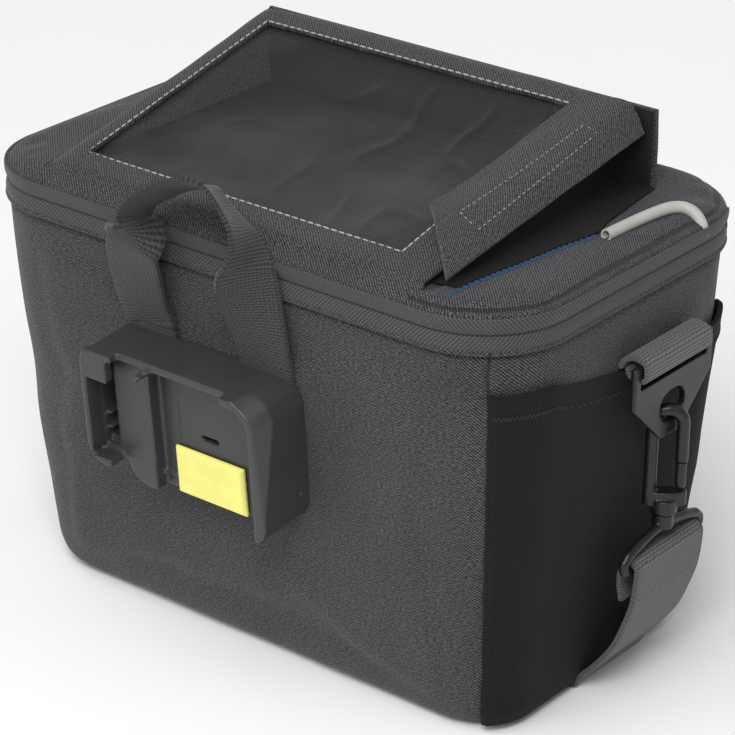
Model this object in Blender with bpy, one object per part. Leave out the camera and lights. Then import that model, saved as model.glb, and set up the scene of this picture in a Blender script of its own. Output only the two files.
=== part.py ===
"""A handlebar bag for a bicycle: a padded box bag with a zipped lid, a sloping map pocket
with a clear window on the lid, a carry handle, a hard adapter plate on the rider's side,
stretch pockets at both ends and a shoulder strap on snap hooks.

Metres, +Z up. The rider's side faces -Y, and the origin is under the middle of the whole.
"""

import math

import bmesh
import bpy
from mathutils import Matrix, Vector

# Bag
RIM_WIDTH = 0.257
RIM_DEPTH = 0.166
RIM_HEIGHT = 0.1645
CORNER_RADIUS = 0.036
WALL = 0.004
FLOOR = 0.006
GAP = 0.0003

# The shapes below are round the middle of the bag, and move by this to centre the whole
MIDDLE_SHIFT = 0.0118

# Zip band and lid
BAND_HEIGHT = 0.0072
BAND_INSET = 0.0012
BAND_THICKNESS = 0.0016
LID_HEIGHT = 0.0080
LID_WALL = 0.004

# Map pocket on the lid
CLOTH = 0.0016
FILM = 0.0010
LINING = 0.0010
POCKET_LEFT = 0.090
POCKET_RIGHT = 0.088
POCKET_NEAR_INSET = 0.007
POCKET_RUN = 0.1306
POCKET_RISE = 0.0302
WINDOW_NEAR_MARGIN = 0.013
WINDOW_FAR_MARGIN = 0.0132
WINDOW_LEFT_MARGIN = 0.009
WINDOW_RIGHT_MARGIN = 0.019
FILM_LAP = 0.003
FLAP_WIDTH = 0.029
FLAP_LIFT = 0.0060
FLAP_DROP = 0.0100
FLAP_NEAR_SKEW = 0.030

# Piping on the lid
PIPING_RADIUS = 0.0024
PIPING_RUN = 0.055

# Side pockets
POCKET_SKIN = 0.0012
POCKET_FLARE = 0.005

# Carry handle
HANDLE_WEBBING = 0.025
HANDLE_THICKNESS = 0.002
HANDLE_SPAN = 0.058
HANDLE_RISE = 0.0678
HANDLE_REACH = 0.012
HANDLE_CENTRE = -0.0065

# Adapter plate
PLATE_WIDTH = 0.087
PLATE_HEIGHT = 0.058
PLATE_DEPTH = 0.027
PLATE_CENTRE = -0.0055
PLATE_FOOT = 0.0745
PLATE_CHAMFER = 0.0030
RECESS_RADIUS = 0.008
RECESS_FLOOR = 0.48
INSERT_LEFT = 0.0340
INSERT_WIDTH = 0.0335
INSERT_HEIGHT = 0.0205
INSERT_PROUD = 0.0024

# Shoulder strap and its fittings
STRAP_WEBBING = 0.044
STRAP_THICKNESS = 0.0018
FITTING_Y = 0.010
TAB_STANDOFF = 0.0085
TAB_THICKNESS = 0.0026
TAB_TOP = 0.1424
TAB_SHOULDER = 0.0165
TAB_LENGTH = 0.0345
TAB_ARM = 0.0036
TAB_TIP_WIDTH = 0.013
TAB_BAR = 0.0045
SLOT_HEIGHT = 0.0048
HOLE_WIDTH = 0.0165
HOLE_HEIGHT = 0.0125
HOLE_DROP = 0.0224
HOOK_WIRE = 0.0026
HOOK_RADIUS = 0.0057
HOOK_LENGTH = 0.0336
HOOK_TURN = math.radians(40)
HOOK_BASE = 0.0060
HOOK_NOSE = 0.0155
COLLAR_RADIUS = 0.0052
COLLAR_HEIGHT = 0.0030
GATE_RADIUS = 0.0022
GATE_CLEARANCE = 0.0005
POST_RADIUS = 0.0042
POST_HEIGHT = 0.0045
RING_WIRE = 0.0021
RING_SLOPE = 0.0060
RING_DROP = 0.0055
STRAP_FOLD = 0.0135

CORNER_STEPS = 6
SIDE_STEPS = 4
RING_COUNT = 4 * (CORNER_STEPS + SIDE_STEPS)
WIRE_SIDES = 10

# Body sections, from the base to the rim, as shares of the rim's height, width, depth and corner
BODY_SECTIONS = (
    # height, width, depth, corner
    (0.000, 0.862, 0.735, 0.56),
    (0.014, 0.887, 0.776, 0.62),
    (0.050, 0.904, 0.803, 0.66),
    (0.120, 0.912, 0.820, 0.70),
    (0.420, 0.952, 0.893, 0.82),
    (0.820, 0.989, 0.970, 0.96),
    (1.000, 1.000, 1.000, 1.00),
)

# Lid sections, as shares of the lid's height, and the inset as a share of the corner radius
LID_SECTIONS = (
    # rise, inset
    (0.00, 0.015),
    (0.25, -0.030),
    (0.60, -0.010),
    (0.88, 0.120),
    (1.00, 0.300),
)

# Side pocket's upper edge from the rider's side to the far side
HEM_SECTIONS = (
    # along, height as a share of the rim's height, flare as a share of the pocket's flare
    (0.00, 0.893, 0.0),
    (0.28, 0.893, 0.0),
    (0.40, 0.855, 0.0),
    (0.46, 0.838, 0.0),
    (0.66, 0.815, 0.0),
    (0.80, 0.825, 0.2),
    (1.00, 0.885, 1.0),
)

# Handle from its left end to its right one
HANDLE_SECTIONS = (
    # across as a share of the span, up of the rise, out of the reach, then the webbing's width direction
    (-0.474, 0.000, 0.06, 1.00, 0.00, 0.00),
    (-0.515, 0.152, 0.20, 1.00, 0.00, 0.00),
    (-0.495, 0.360, 0.51, 1.00, 0.00, 0.00),
    (-0.430, 0.532, 0.91, 1.00, 0.08, -0.05),
    (-0.378, 0.625, 0.93, 0.30, 0.80, -0.45),
    (-0.396, 0.725, 0.86, -0.21, 0.85, -0.49),
    (-0.326, 0.811, 0.77, -0.29, 0.83, -0.47),
    (-0.155, 0.914, 0.61, -0.29, 0.83, -0.47),
    (-0.005, 0.974, 0.49, -0.25, 0.87, -0.43),
    (0.137, 1.000, 0.45, -0.35, 0.90, -0.25),
    (0.262, 0.891, 0.44, -0.35, 0.91, -0.20),
    (0.382, 0.791, 0.50, -0.20, 0.93, -0.30),
    (0.486, 0.705, 0.56, 0.00, 0.99, -0.10),
    (0.540, 0.620, 0.72, 0.82, 0.50, 0.00),
    (0.512, 0.532, 0.77, 1.00, 0.08, 0.00),
    (0.469, 0.368, 0.40, 1.00, 0.00, 0.00),
    (0.477, 0.200, 0.20, 1.00, 0.00, 0.00),
    (0.495, 0.000, 0.06, 1.00, 0.00, 0.00),
)

# Outline of the adapter plate seen from the rider's side, as shares of its width and height
PLATE_OUTLINE = (
    # across from the left, up from the foot
    (0.255, 0.000),
    (0.205, 0.025),
    (0.168, 0.080),
    (0.150, 0.150),
    (0.090, 0.155),
    (0.040, 0.185),
    (0.010, 0.240),
    (0.000, 0.310),
    (0.000, 0.880),
    (0.010, 0.950),
    (0.035, 0.988),
    (0.075, 1.000),
    (0.890, 1.000),
    (0.940, 0.980),
    (0.978, 0.935),
    (1.000, 0.850),
    (1.000, 0.120),
    (0.985, 0.050),
    (0.955, 0.010),
    (0.920, 0.000),
)

# What is cut out of the plate, as shares of its width, height and depth from the wall outwards
PLATE_CUTS = (
    # name, left, right, low, high, inner, outer
    ("left_face", 0.028, 0.315, 0.200, 0.948, 0.70, 1.10),
    ("left_foot", 0.130, 0.320, -0.010, 0.215, 0.71, 1.12),
    ("chamber", 0.032, 0.105, 0.230, 0.890, 0.30, 0.73),
    ("top_notch", 0.184, 0.793, 0.930, 1.020, 0.85, 1.10),
    ("under_rail", 0.370, 0.770, 0.890, 0.935, 0.36, 0.50),
    ("key_slot", 0.529, 0.625, 0.440, 0.476, 0.30, 0.50),
    ("slit", 0.397, 0.409, 0.370, 0.664, 0.44, 0.50),
    ("side_pinhole", 0.985, 1.010, 0.200, 0.230, 0.20, 0.26),
)

# What is added to it, in the same shares
PLATE_BLOCKS = (
    # name, left, right, low, high, inner, outer
    ("tongue", 0.012, 0.150, 0.790, 0.985, 0.85, 0.999),
    ("upper_rib", 0.020, 0.058, 0.440, 0.458, 0.28, 0.66),
    ("lower_rib", 0.020, 0.058, 0.330, 0.348, 0.28, 0.66),
    ("stop", 0.020, 0.100, 0.215, 0.270, 0.28, 0.60),
    ("lip", 0.325, 0.384, 0.100, 0.125, 0.46, 0.54),
)

# Flap's section from its left edge to its free right edge
FLAP_SECTIONS = (
    # across as a share of the width, lift as a share of the flap's lift, drop of the flap's drop
    (0.00, 0.00, 0.00),
    (0.35, 0.45, 0.00),
    (0.75, 0.40, 0.00),
    (0.89, 0.22, 0.40),
    (1.00, 0.00, 1.00),
)

# Strap from the ring's bar down to the base
STRAP_DROP = (
    # height as a share of the bar's height, reach as a share from the base's edge to the bar
    (0.780, 1.08),
    (0.580, 0.95),
    (0.410, 0.80),
    (0.250, 0.57),
    (0.125, 0.345),
    (0.064, 0.270),
    (0.028, 0.222),
    (0.021, 0.130),
)


def material(name, colour, roughness, metallic=0.0, alpha=1.0):
    made = bpy.data.materials.new(name)
    made.use_nodes = True
    shader = made.node_tree.nodes["Principled BSDF"]
    shader.inputs["Base Color"].default_value = (*colour, 1.0)
    shader.inputs["Roughness"].default_value = roughness
    shader.inputs["Metallic"].default_value = metallic
    shader.inputs["Alpha"].default_value = alpha
    return made


def solid(name, points, faces, finish, crease=40):
    """An object from points and faces, with its faces turned outwards."""
    mesh = bpy.data.meshes.new(name)
    mesh.from_pydata([tuple(p) for p in points], [], faces)
    work = bmesh.new()
    work.from_mesh(mesh)
    bmesh.ops.recalc_face_normals(work, faces=work.faces)
    work.to_mesh(mesh)
    work.free()
    mesh.shade_smooth()
    mesh.set_sharp_from_angle(angle=math.radians(crease))
    mesh.materials.append(finish)
    made = bpy.data.objects.new(name, mesh)
    bpy.context.collection.objects.link(made)
    return made


def loft(loops, closed=False):
    """Points and faces of a skin through loops of equal length, capped unless it is closed."""
    size = len(loops[0])
    points = [p for loop in loops for p in loop]
    faces = []
    runs = len(loops) if closed else len(loops) - 1
    for i in range(runs):
        near = i * size
        far = (i + 1) % len(loops) * size
        for j in range(size):
            k = (j + 1) % size
            faces.append((near + j, near + k, far + k, far + j))
    if not closed:
        faces.append(tuple(range(size)))
        faces.append(tuple(range(len(points) - size, len(points))))
    return points, faces


def cutter(name, points, faces):
    made = solid(name, points, faces, bpy.data.materials["cutter"])
    made.hide_render = True
    made.display_type = "WIRE"
    return made


def combine(target, other, operation):
    boolean = target.modifiers.new(operation.lower(), "BOOLEAN")
    boolean.operation = operation
    boolean.object = other
    boolean.solver = "EXACT"


def block(low, high):
    """Points and faces of a box between two corners."""
    loops = [
        [Vector((x, y, z)) for x, y in ((low[0], low[1]), (high[0], low[1]), (high[0], high[1]), (low[0], high[1]))]
        for z in (low[2], high[2])
    ]
    return loft(loops)


def prism(outline, start, end):
    """Points and faces of an outline in X and Z, carried along Y."""
    return loft([[Vector((x, y, z)) for x, z in outline] for y in (start, end)])


def rounded(width, height, radius, steps=5, centre=(0.0, 0.0)):
    """A rounded rectangle's points, as pairs."""
    radius = min(radius, width / 2, height / 2)
    outline = []
    for quarter, (sx, sy) in enumerate(((1, 1), (-1, 1), (-1, -1), (1, -1))):
        for step in range(steps + 1):
            angle = math.pi / 2 * (quarter + step / steps)
            outline.append(
                (
                    centre[0] + sx * (width / 2 - radius) + radius * math.cos(angle),
                    centre[1] + sy * (height / 2 - radius) + radius * math.sin(angle),
                )
            )
    return outline


def tube_loops(path, radii, sides=WIRE_SIDES, closed=False):
    """Rings of points round a path, each turned as little as possible from the one before."""
    count = len(path)
    loops = []
    side = None
    for i, point in enumerate(path):
        before = path[(i - 1) % count] if closed or i > 0 else path[0]
        after = path[(i + 1) % count] if closed or i < count - 1 else path[-1]
        along = (after - before).normalized()
        if side is None:
            side = along.orthogonal()
        side = (side - along * side.dot(along)).normalized()
        other = along.cross(side)
        loops.append(
            [
                point + radii[i] * (side * math.cos(a) + other * math.sin(a))
                for a in (2 * math.pi * k / sides for k in range(sides))
            ]
        )
    return loops


def tube(name, path, radius, finish, closed=False):
    radii = radius if isinstance(radius, (list, tuple)) else [radius] * len(path)
    return solid(name, *loft(tube_loops(path, radii, closed=closed), closed), finish)


def ribbon(name, rows, width, thickness, finish):
    """A strip of webbing through rows of a middle point and the direction of its width."""
    loops = []
    for i, (point, across) in enumerate(rows):
        along = (rows[min(i + 1, len(rows) - 1)][0] - rows[max(i - 1, 0)][0]).normalized()
        across = (across - along * across.dot(along)).normalized()
        out = along.cross(across)
        loops.append(
            [
                point + across * (width / 2 * a) + out * (thickness / 2 * b)
                for a, b in ((-1, -1), (1, -1), (1, 1), (-1, 1))
            ]
        )
    return solid(name, *loft(loops), finish)


def smooth(points, steps=3):
    """A Catmull-Rom curve through points, which are vectors of any length."""
    made = []
    for i in range(len(points) - 1):
        a, b, c, d = (points[min(max(i + k, 0), len(points) - 1)] for k in (-1, 0, 1, 2))
        for step in range(steps):
            t = step / steps
            made.append(
                (b * 2 + (c - a) * t + (a * 2 - b * 5 + c * 4 - d) * t**2 + (b * 3 - a - c * 3 + d) * t**3) / 2
            )
    made.append(points[-1])
    return made


def ring(width, depth, radius, height):
    """A rounded rectangle in plan, with points along its straight sides too."""
    points = []
    corners = ((1, 1), (-1, 1), (-1, -1), (1, -1))
    for quarter, (sx, sy) in enumerate(corners):
        middle = Vector((sx * (width / 2 - radius), sy * (depth / 2 - radius), height))
        for step in range(CORNER_STEPS + 1):
            angle = math.pi / 2 * (quarter + step / CORNER_STEPS)
            points.append(middle + radius * Vector((math.cos(angle), math.sin(angle), 0)))
        nx, ny = corners[(quarter + 1) % 4]
        turn = math.pi / 2 * (quarter + 1)
        start = points[-1]
        middle = Vector((nx * (width / 2 - radius), ny * (depth / 2 - radius), height))
        end = middle + radius * Vector((math.cos(turn), math.sin(turn), 0))
        for step in range(1, SIDE_STEPS):
            points.append(start.lerp(end, step / SIDE_STEPS))
    return points


def table_at(table, share):
    """A table's row at a share of its first column, between its rows in straight lines."""
    for low, high in zip(table, table[1:]):
        if share <= high[0]:
            t = (share - low[0]) / (high[0] - low[0])
            return [a + (b - a) * t for a, b in zip(low, high)]
    return list(table[-1])


def body_ring(height, offset=0.0):
    """The body's outline at a height, moved outwards by an offset."""
    _, width, depth, corner = table_at(BODY_SECTIONS, height / RIM_HEIGHT)
    return ring(
        width * RIM_WIDTH + 2 * offset,
        depth * RIM_DEPTH + 2 * offset,
        max(corner * CORNER_RADIUS + offset, 0.004),
        height,
    )


def half_width(height):
    return table_at(BODY_SECTIONS, height / RIM_HEIGHT)[1] * RIM_WIDTH / 2


def half_depth(height):
    return table_at(BODY_SECTIONS, height / RIM_HEIGHT)[2] * RIM_DEPTH / 2


def make_body(fabric):
    heights = [row[0] * RIM_HEIGHT for row in BODY_SECTIONS]
    loops = [body_ring(height) for height in heights]
    inside = [height for height in reversed(heights) if height > FLOOR]
    loops += [body_ring(height, -WALL) for height in inside]
    loops.append([Vector((p.x, p.y, FLOOR)) for p in body_ring(FLOOR, -WALL)])
    body = solid("bag_body", *loft(loops), fabric)
    low = (-RIM_WIDTH, FITTING_Y - STRAP_WEBBING / 2 - 4 * GAP, -FLOOR)
    high = (RIM_WIDTH, FITTING_Y + STRAP_WEBBING / 2 + 4 * GAP, STRAP_THICKNESS + 2 * GAP)
    combine(body, cutter("cutter_strap_groove", *block(low, high)), "DIFFERENCE")
    return body


def make_band(name, first, last, finish):
    """The strip between the rim and the lid, from one point of the ring to another."""
    sizes = [
        (RIM_WIDTH - 2 * inset, RIM_DEPTH - 2 * inset, CORNER_RADIUS - inset)
        for inset in (BAND_INSET, BAND_INSET + BAND_THICKNESS)
    ]
    low = RIM_HEIGHT + GAP
    high = RIM_HEIGHT + BAND_HEIGHT
    outer, inner = (ring(*size, low) for size in sizes)
    loops = []
    for index in range(first, last + 1):
        a = outer[index % RING_COUNT].copy()
        b = inner[index % RING_COUNT].copy()
        if index in (first, last):
            step = 1 if index == first else -1
            toward = (outer[(index + step) % RING_COUNT] - a).normalized() * GAP
            a += toward
            b += toward
        loops.append([a, b, Vector((b.x, b.y, high)), Vector((a.x, a.y, high))])
    return solid(name, *loft(loops), finish)


def lid_base():
    return RIM_HEIGHT + BAND_HEIGHT + GAP


def lid_top():
    return lid_base() + LID_HEIGHT


def lid_ring(rise, inset):
    return ring(RIM_WIDTH - 2 * inset, RIM_DEPTH - 2 * inset, CORNER_RADIUS - inset, lid_base() + rise * LID_HEIGHT)


def make_lid(fabric):
    loops = [lid_ring(rise, inset * CORNER_RADIUS) for rise, inset in LID_SECTIONS]
    ceiling = (LID_HEIGHT - LID_WALL) / LID_HEIGHT
    inner = LID_SECTIONS[0][1] * CORNER_RADIUS + LID_WALL
    loops.append(lid_ring(ceiling, inner))
    loops.append(lid_ring(0.0, inner))
    # The cap loops are the crown and the ceiling, so the order runs from the crown down and in
    outside = loops[: len(LID_SECTIONS)]
    inside = loops[len(LID_SECTIONS) :]
    return solid("lid", *loft(list(reversed(outside)) + list(reversed(inside))), fabric)


def pocket_tilt():
    return math.atan2(POCKET_RISE, POCKET_RUN)


def pocket_near():
    return -RIM_DEPTH / 2 + POCKET_NEAR_INSET


def pocket_place(x, along, above):
    """A point of the pocket's slope: along it from its near edge, and above its underside."""
    tilt = pocket_tilt()
    return Vector(
        (
            x,
            pocket_near() + along * math.cos(tilt) - above * math.sin(tilt),
            lid_top() + LINING + 2 * GAP + along * math.sin(tilt) + above * math.cos(tilt),
        )
    )


def pocket_length():
    return math.hypot(POCKET_RUN, POCKET_RISE)


def make_pocket_frame(fabric):
    outer = (-POCKET_LEFT, POCKET_RIGHT, 0.0, pocket_length())
    inner = (
        -POCKET_LEFT + WINDOW_LEFT_MARGIN,
        POCKET_RIGHT - WINDOW_RIGHT_MARGIN,
        WINDOW_NEAR_MARGIN,
        pocket_length() - WINDOW_FAR_MARGIN,
    )
    loops = []
    for (left, right, near, far), above in ((outer, 0), (outer, CLOTH), (inner, CLOTH), (inner, 0)):
        corners = ((left, near), (right, near), (right, far), (left, far))
        loops.append([pocket_place(x, along, above) for x, along in corners])
    return solid("pocket_frame", *loft(loops, closed=True), fabric)


def make_pocket_window(film):
    left = -POCKET_LEFT + WINDOW_LEFT_MARGIN - FILM_LAP
    right = POCKET_RIGHT - WINDOW_RIGHT_MARGIN + FILM_LAP
    near = WINDOW_NEAR_MARGIN - FILM_LAP
    far = pocket_length() - WINDOW_FAR_MARGIN + FILM_LAP
    loops = [
        [pocket_place(x, along, above) for x, along in ((left, near), (right, near), (right, far), (left, far))]
        for above in (-GAP - FILM, -GAP)
    ]
    return solid("pocket_window", *loft(loops), film)


def make_pocket_floor(lining):
    low = (-POCKET_LEFT + CLOTH + 2 * GAP, pocket_near() + POCKET_NEAR_INSET, lid_top() + GAP)
    high = (POCKET_RIGHT + CLOTH, pocket_near() + POCKET_RUN - CLOTH - 2 * GAP, lid_top() + GAP + LINING)
    return solid("pocket_floor", *block(low, high), lining)


def make_pocket_walls(fabric):
    """The upright far wall, and the three-cornered gusset that closes the left end."""
    far = pocket_near() + POCKET_RUN
    base = lid_top() + GAP
    crest = pocket_place(0, pocket_length(), -GAP).z - CLOTH * math.tan(pocket_tilt())
    low = (-POCKET_LEFT, far - CLOTH, base)
    wall = solid("pocket_far_wall", *block(low, (POCKET_RIGHT + FLAP_WIDTH / 3, far, crest)), fabric)
    near = pocket_near() + 2 * POCKET_NEAR_INSET
    end = far - CLOTH - GAP
    slope = math.tan(pocket_tilt())
    level = pocket_place(0, 0, -GAP).z
    outline = [
        (near, base),
        (end, base),
        (end, level + (end - pocket_near()) * slope),
        (near, level + (near - pocket_near()) * slope),
    ]
    loops = [[Vector((x, y, z)) for y, z in outline] for x in (-POCKET_LEFT, -POCKET_LEFT + CLOTH)]
    gusset = solid("pocket_gusset", *loft(loops), fabric)
    return wall, gusset


def make_pocket_flap(fabric, stations=8):
    """The closing flap: sewn beside the window, hanging free over the open right end."""
    left = POCKET_RIGHT - WINDOW_RIGHT_MARGIN - CLOTH
    loops = []
    for station in range(stations + 1):
        share = station / stations
        upper, lower = [], []
        for across, lift, drop in FLAP_SECTIONS:
            skew = FLAP_NEAR_SKEW * (1 - across) * (1 - share) ** 2
            along = 0.004 + skew + (pocket_length() - 0.010 - skew) * share
            rise = CLOTH + GAP + FLAP_LIFT * (lift * (1 - 0.7 * share) + (1 - across) * (1 - share) ** 2)
            fall = FLAP_DROP * drop * share
            point = pocket_place(left + FLAP_WIDTH * across, along, rise) - Vector((0, 0, fall))
            upper.append(point + Vector((0, 0, CLOTH)))
            lower.append(point)
        loops.append(upper + list(reversed(lower)))
    return solid("pocket_flap", *loft(loops), fabric)


def make_piping(finish):
    """A soft tube that lies on the lid and goes over its far right corner to the zip."""
    level = lid_top() + PIPING_RADIUS + GAP
    edge = RIM_WIDTH / 2
    over = RIM_DEPTH / 2 - CORNER_RADIUS
    route = (
        (edge - 0.0170, over - 0.820 * PIPING_RUN, level),
        (edge - 0.0150, over - 0.600 * PIPING_RUN, level),
        (edge - 0.0125, over - 0.365 * PIPING_RUN, level),
        (edge - 0.0095, over - 0.185 * PIPING_RUN, level),
        (edge - 0.0060, over - 0.050 * PIPING_RUN, level - 0.0004),
        (edge - 0.0015, over + 0.040 * PIPING_RUN, level - 0.0018),
        (edge + 0.0025, over + 0.090 * PIPING_RUN, level - 0.0052),
        (edge + 0.0036, over + 0.125 * PIPING_RUN, level - 0.0090),
    )
    return tube("piping_tube", smooth([Vector(p) for p in route]), PIPING_RADIUS, finish)


def make_side_pocket(name, first, last, turned, fabric, rows=5):
    """A skin of stretch fabric round one end of the body, between two points of the ring."""
    foot = BODY_SECTIONS[2][0] * RIM_HEIGHT
    loops = []
    for index in range(first, last + 1):
        along = (index - first) / (last - first)
        if turned:
            along = 1 - along
        _, top, flare = table_at(HEM_SECTIONS, along)
        outer, inner = [], []
        for row in range(rows + 1):
            share = row / rows
            height = foot + (top * RIM_HEIGHT - foot) * share
            away = GAP + POCKET_FLARE * flare * share**4
            inner.append(body_ring(height, away)[index % RING_COUNT])
            outer.append(body_ring(height, away + POCKET_SKIN)[index % RING_COUNT])
        loops.append(outer + list(reversed(inner)))
    return solid(name, *loft(loops), fabric)


def rear_slope():
    """The lean of the flat part of the rider's side."""
    low, high = (row[0] * RIM_HEIGHT for row in BODY_SECTIONS[4:6])
    return math.atan2(half_depth(high) - half_depth(low), high - low)


def make_handle(webbing):
    foot = PLATE_FOOT + PLATE_HEIGHT + 0.0024
    middles, widths = [], []
    for across, up, out, *width in HANDLE_SECTIONS:
        height = foot + up * HANDLE_RISE
        face = -half_depth(min(height, RIM_HEIGHT)) - GAP - HANDLE_THICKNESS / 2
        middles.append(Vector((HANDLE_CENTRE + across * HANDLE_SPAN, face - out * HANDLE_REACH, height)))
        widths.append(Vector(width))
    rows = list(zip(smooth(middles), smooth(widths)))
    return ribbon("carry_handle", rows, HANDLE_WEBBING, HANDLE_THICKNESS, webbing)


def plate_frame():
    """The plate's own axes: its foot's middle on the wall, with -Y straight out of the wall."""
    face = half_depth(PLATE_FOOT) + GAP / math.cos(rear_slope())
    return Matrix.Translation((PLATE_CENTRE, -face, PLATE_FOOT)) @ Matrix.Rotation(rear_slope(), 4, "X")


def placed(shape, frame):
    points, faces = shape
    return [frame @ p for p in points], faces


def plate_place(across, up, out):
    """A point of the plate in its own axes, from shares of its width, height and depth."""
    return Vector(((across - 0.5) * PLATE_WIDTH, -out * PLATE_DEPTH, up * PLATE_HEIGHT))


def plate_outline(out, chamfer=0.0):
    points = [plate_place(across, up, out) for across, up in PLATE_OUTLINE]
    for point in points:
        if point.x > 0 and point.z > 0.2 * PLATE_HEIGHT:
            point.x -= chamfer
            point.z -= chamfer / 2 if point.z > 0.9 * PLATE_HEIGHT and point.x > PLATE_WIDTH * 0.4 else 0
    return points


def make_plate(plastic):
    """The cradle that slides down over the handlebar's holder, open at its foot."""
    frame = plate_frame()
    loops = [plate_outline(0), plate_outline(0.66), plate_outline(1.0, PLATE_CHAMFER)]
    plate = solid("adapter_plate", *placed(loft(loops), frame), plastic)
    low, high = plate_place(0.310, 0, RECESS_FLOOR), plate_place(0.937, 0.945, 1.1)
    centre = ((low.x + high.x) / 2, 0)
    recess = rounded(high.x - low.x, 2 * high.z, RECESS_RADIUS, centre=centre)
    combine(plate, cutter("cutter_plate_recess", *placed(prism(recess, high.y, low.y), frame)), "DIFFERENCE")
    for rows, operation in ((PLATE_CUTS, "DIFFERENCE"), (PLATE_BLOCKS, "UNION")):
        for name, left, right, foot, top, inner, outer in rows:
            shape = block(plate_place(left, foot, outer), plate_place(right, top, inner))
            combine(plate, cutter("cutter_plate_" + name, *placed(shape, frame)), operation)
    return plate


def make_insert(yellow):
    """The coloured catch plate that lies on the floor of the recess."""
    floor = -PLATE_DEPTH * RECESS_FLOOR - GAP
    bevel = INSERT_PROUD / 2
    start = INSERT_LEFT - PLATE_WIDTH / 2
    loops = []
    for inset, out in ((0, floor), (0, floor - bevel), (bevel, floor - INSERT_PROUD)):
        left = start + inset
        right = start + INSERT_WIDTH - inset
        low = inset
        high = INSERT_HEIGHT - inset
        loops.append([Vector((x, out, z)) for x, z in ((left, low), (right, low), (right, high), (left, high))])
    return solid("adapter_insert", *placed(loft(loops), plate_frame()), yellow)


def tab_inner():
    """The inner face of the strap's tab, measured from the middle of the bag."""
    return half_width(TAB_TOP) + TAB_STANDOFF


def tab_middle():
    return tab_inner() + TAB_THICKNESS / 2


def hole_height():
    return TAB_TOP - HOLE_DROP


def hook_top():
    """The middle of the hook's arch, which rests on the hole's lower edge."""
    return hole_height() - HOLE_HEIGHT / 2 + 4 * GAP - HOOK_RADIUS + HOOK_WIRE


def sided(points, side):
    return [Vector((side * p.x, p.y, p.z)) for p in points]


def make_loop(name, side, webbing):
    """The webbing that is sewn to the bag and folds round the tab's upper bar."""
    wall = half_width(TAB_TOP) + GAP + STRAP_THICKNESS / 2
    bar = tab_middle()
    reach = bar - wall
    foot = TAB_TOP - TAB_BAR
    under = foot - GAP - STRAP_THICKNESS / 2
    crest = TAB_TOP + 0.0050
    route = (
        (wall, foot + 0.0012),
        (wall, TAB_TOP - 0.0006),
        (wall + 0.24 * reach, crest - 0.0014),
        (wall + 0.62 * reach, crest),
        (wall + 1.16 * reach, crest - 0.0018),
        (wall + 1.44 * reach, TAB_TOP - 0.0010),
        (wall + 1.40 * reach, foot - 0.0002),
        (bar + 0.0006, under - 0.0003),
        (wall + 0.52 * reach, under + 0.0004),
        (wall + 1.7 * STRAP_THICKNESS, foot + 0.0024),
    )
    points = sided(smooth([Vector((x, FITTING_Y, z)) for x, z in route]), side)
    rows = [(p, Vector((0, 1, 0))) for p in points]
    return ribbon(name, rows, STRAP_WEBBING - 0.0015, STRAP_THICKNESS, webbing)


def make_tab(name, side, plastic):
    """The plastic tab: a bar for the webbing, a slot under it and a hole for the hook."""
    half = STRAP_WEBBING / 2 + TAB_ARM
    tip = TAB_TOP - TAB_LENGTH
    outline = [
        (-half, TAB_TOP - TAB_SHOULDER),
        (-half, TAB_TOP),
        (half, TAB_TOP),
        (half, TAB_TOP - TAB_SHOULDER),
        (TAB_TIP_WIDTH / 2, tip),
        (-TAB_TIP_WIDTH / 2, tip),
    ]
    faces = (side * tab_inner(), side * (tab_inner() + TAB_THICKNESS))
    loops = [[Vector((x, FITTING_Y + y, z)) for y, z in outline] for x in faces]
    tab = solid(name, *loft(loops), plastic)
    bevel = tab.modifiers.new("edges", "BEVEL")
    bevel.width = 0.0006
    bevel.segments = 1
    bevel.angle_limit = math.radians(60)
    ends = (side * (tab_inner() - TAB_THICKNESS), side * (tab_inner() + 2 * TAB_THICKNESS))
    top = TAB_TOP - TAB_BAR
    slot = rounded(STRAP_WEBBING, SLOT_HEIGHT, 0.001, 2, (FITTING_Y, top - SLOT_HEIGHT / 2))
    hole = rounded(HOLE_WIDTH, HOLE_HEIGHT, HOLE_HEIGHT / 2, 4, (FITTING_Y, hole_height()))
    for kind, opening in (("slot", slot), ("hole", hole)):
        shape = loft([[Vector((x, y, z)) for y, z in opening] for x in ends])
        combine(tab, cutter(f"cutter_{name}_{kind}", *shape), "DIFFERENCE")
    return tab


def hook_frame(side):
    """Hook axes: X from the spine to the nose, Z up, with the origin on the collar's axis."""
    turn = Matrix.Rotation(HOOK_TURN, 4, "Z")
    place = Matrix.Translation((tab_middle(), FITTING_Y, hook_top() - HOOK_LENGTH))
    mirror = Matrix.Diagonal((side, 1, 1, 1))
    return mirror @ place @ turn


def round_bar(radius, low, high, sides=16, centre=0.0, wide=1.0):
    """An upright bar, which may be wider in X than in Y."""
    loops = [
        [
            Vector((centre + wide * radius * math.cos(a), radius * math.sin(a), z))
            for a in (2 * math.pi * k / sides for k in range(sides))
        ]
        for z in (low, high)
    ]
    return loft(loops)


def gate_foot():
    """Height of the gate's pivot above the foot of the hook."""
    return HOOK_BASE + GATE_RADIUS + GATE_CLEARANCE


def gate_route():
    nose = HOOK_LENGTH - HOOK_NOSE
    foot = gate_foot()
    heights = (foot - GATE_RADIUS, foot - 0.7 * GATE_RADIUS, foot, nose - GATE_CLEARANCE)
    radii = (0.3 * GATE_RADIUS, 0.72 * GATE_RADIUS, GATE_RADIUS, GATE_RADIUS)
    return [Vector((HOOK_RADIUS, 0, height)) for height in heights], radii


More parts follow.
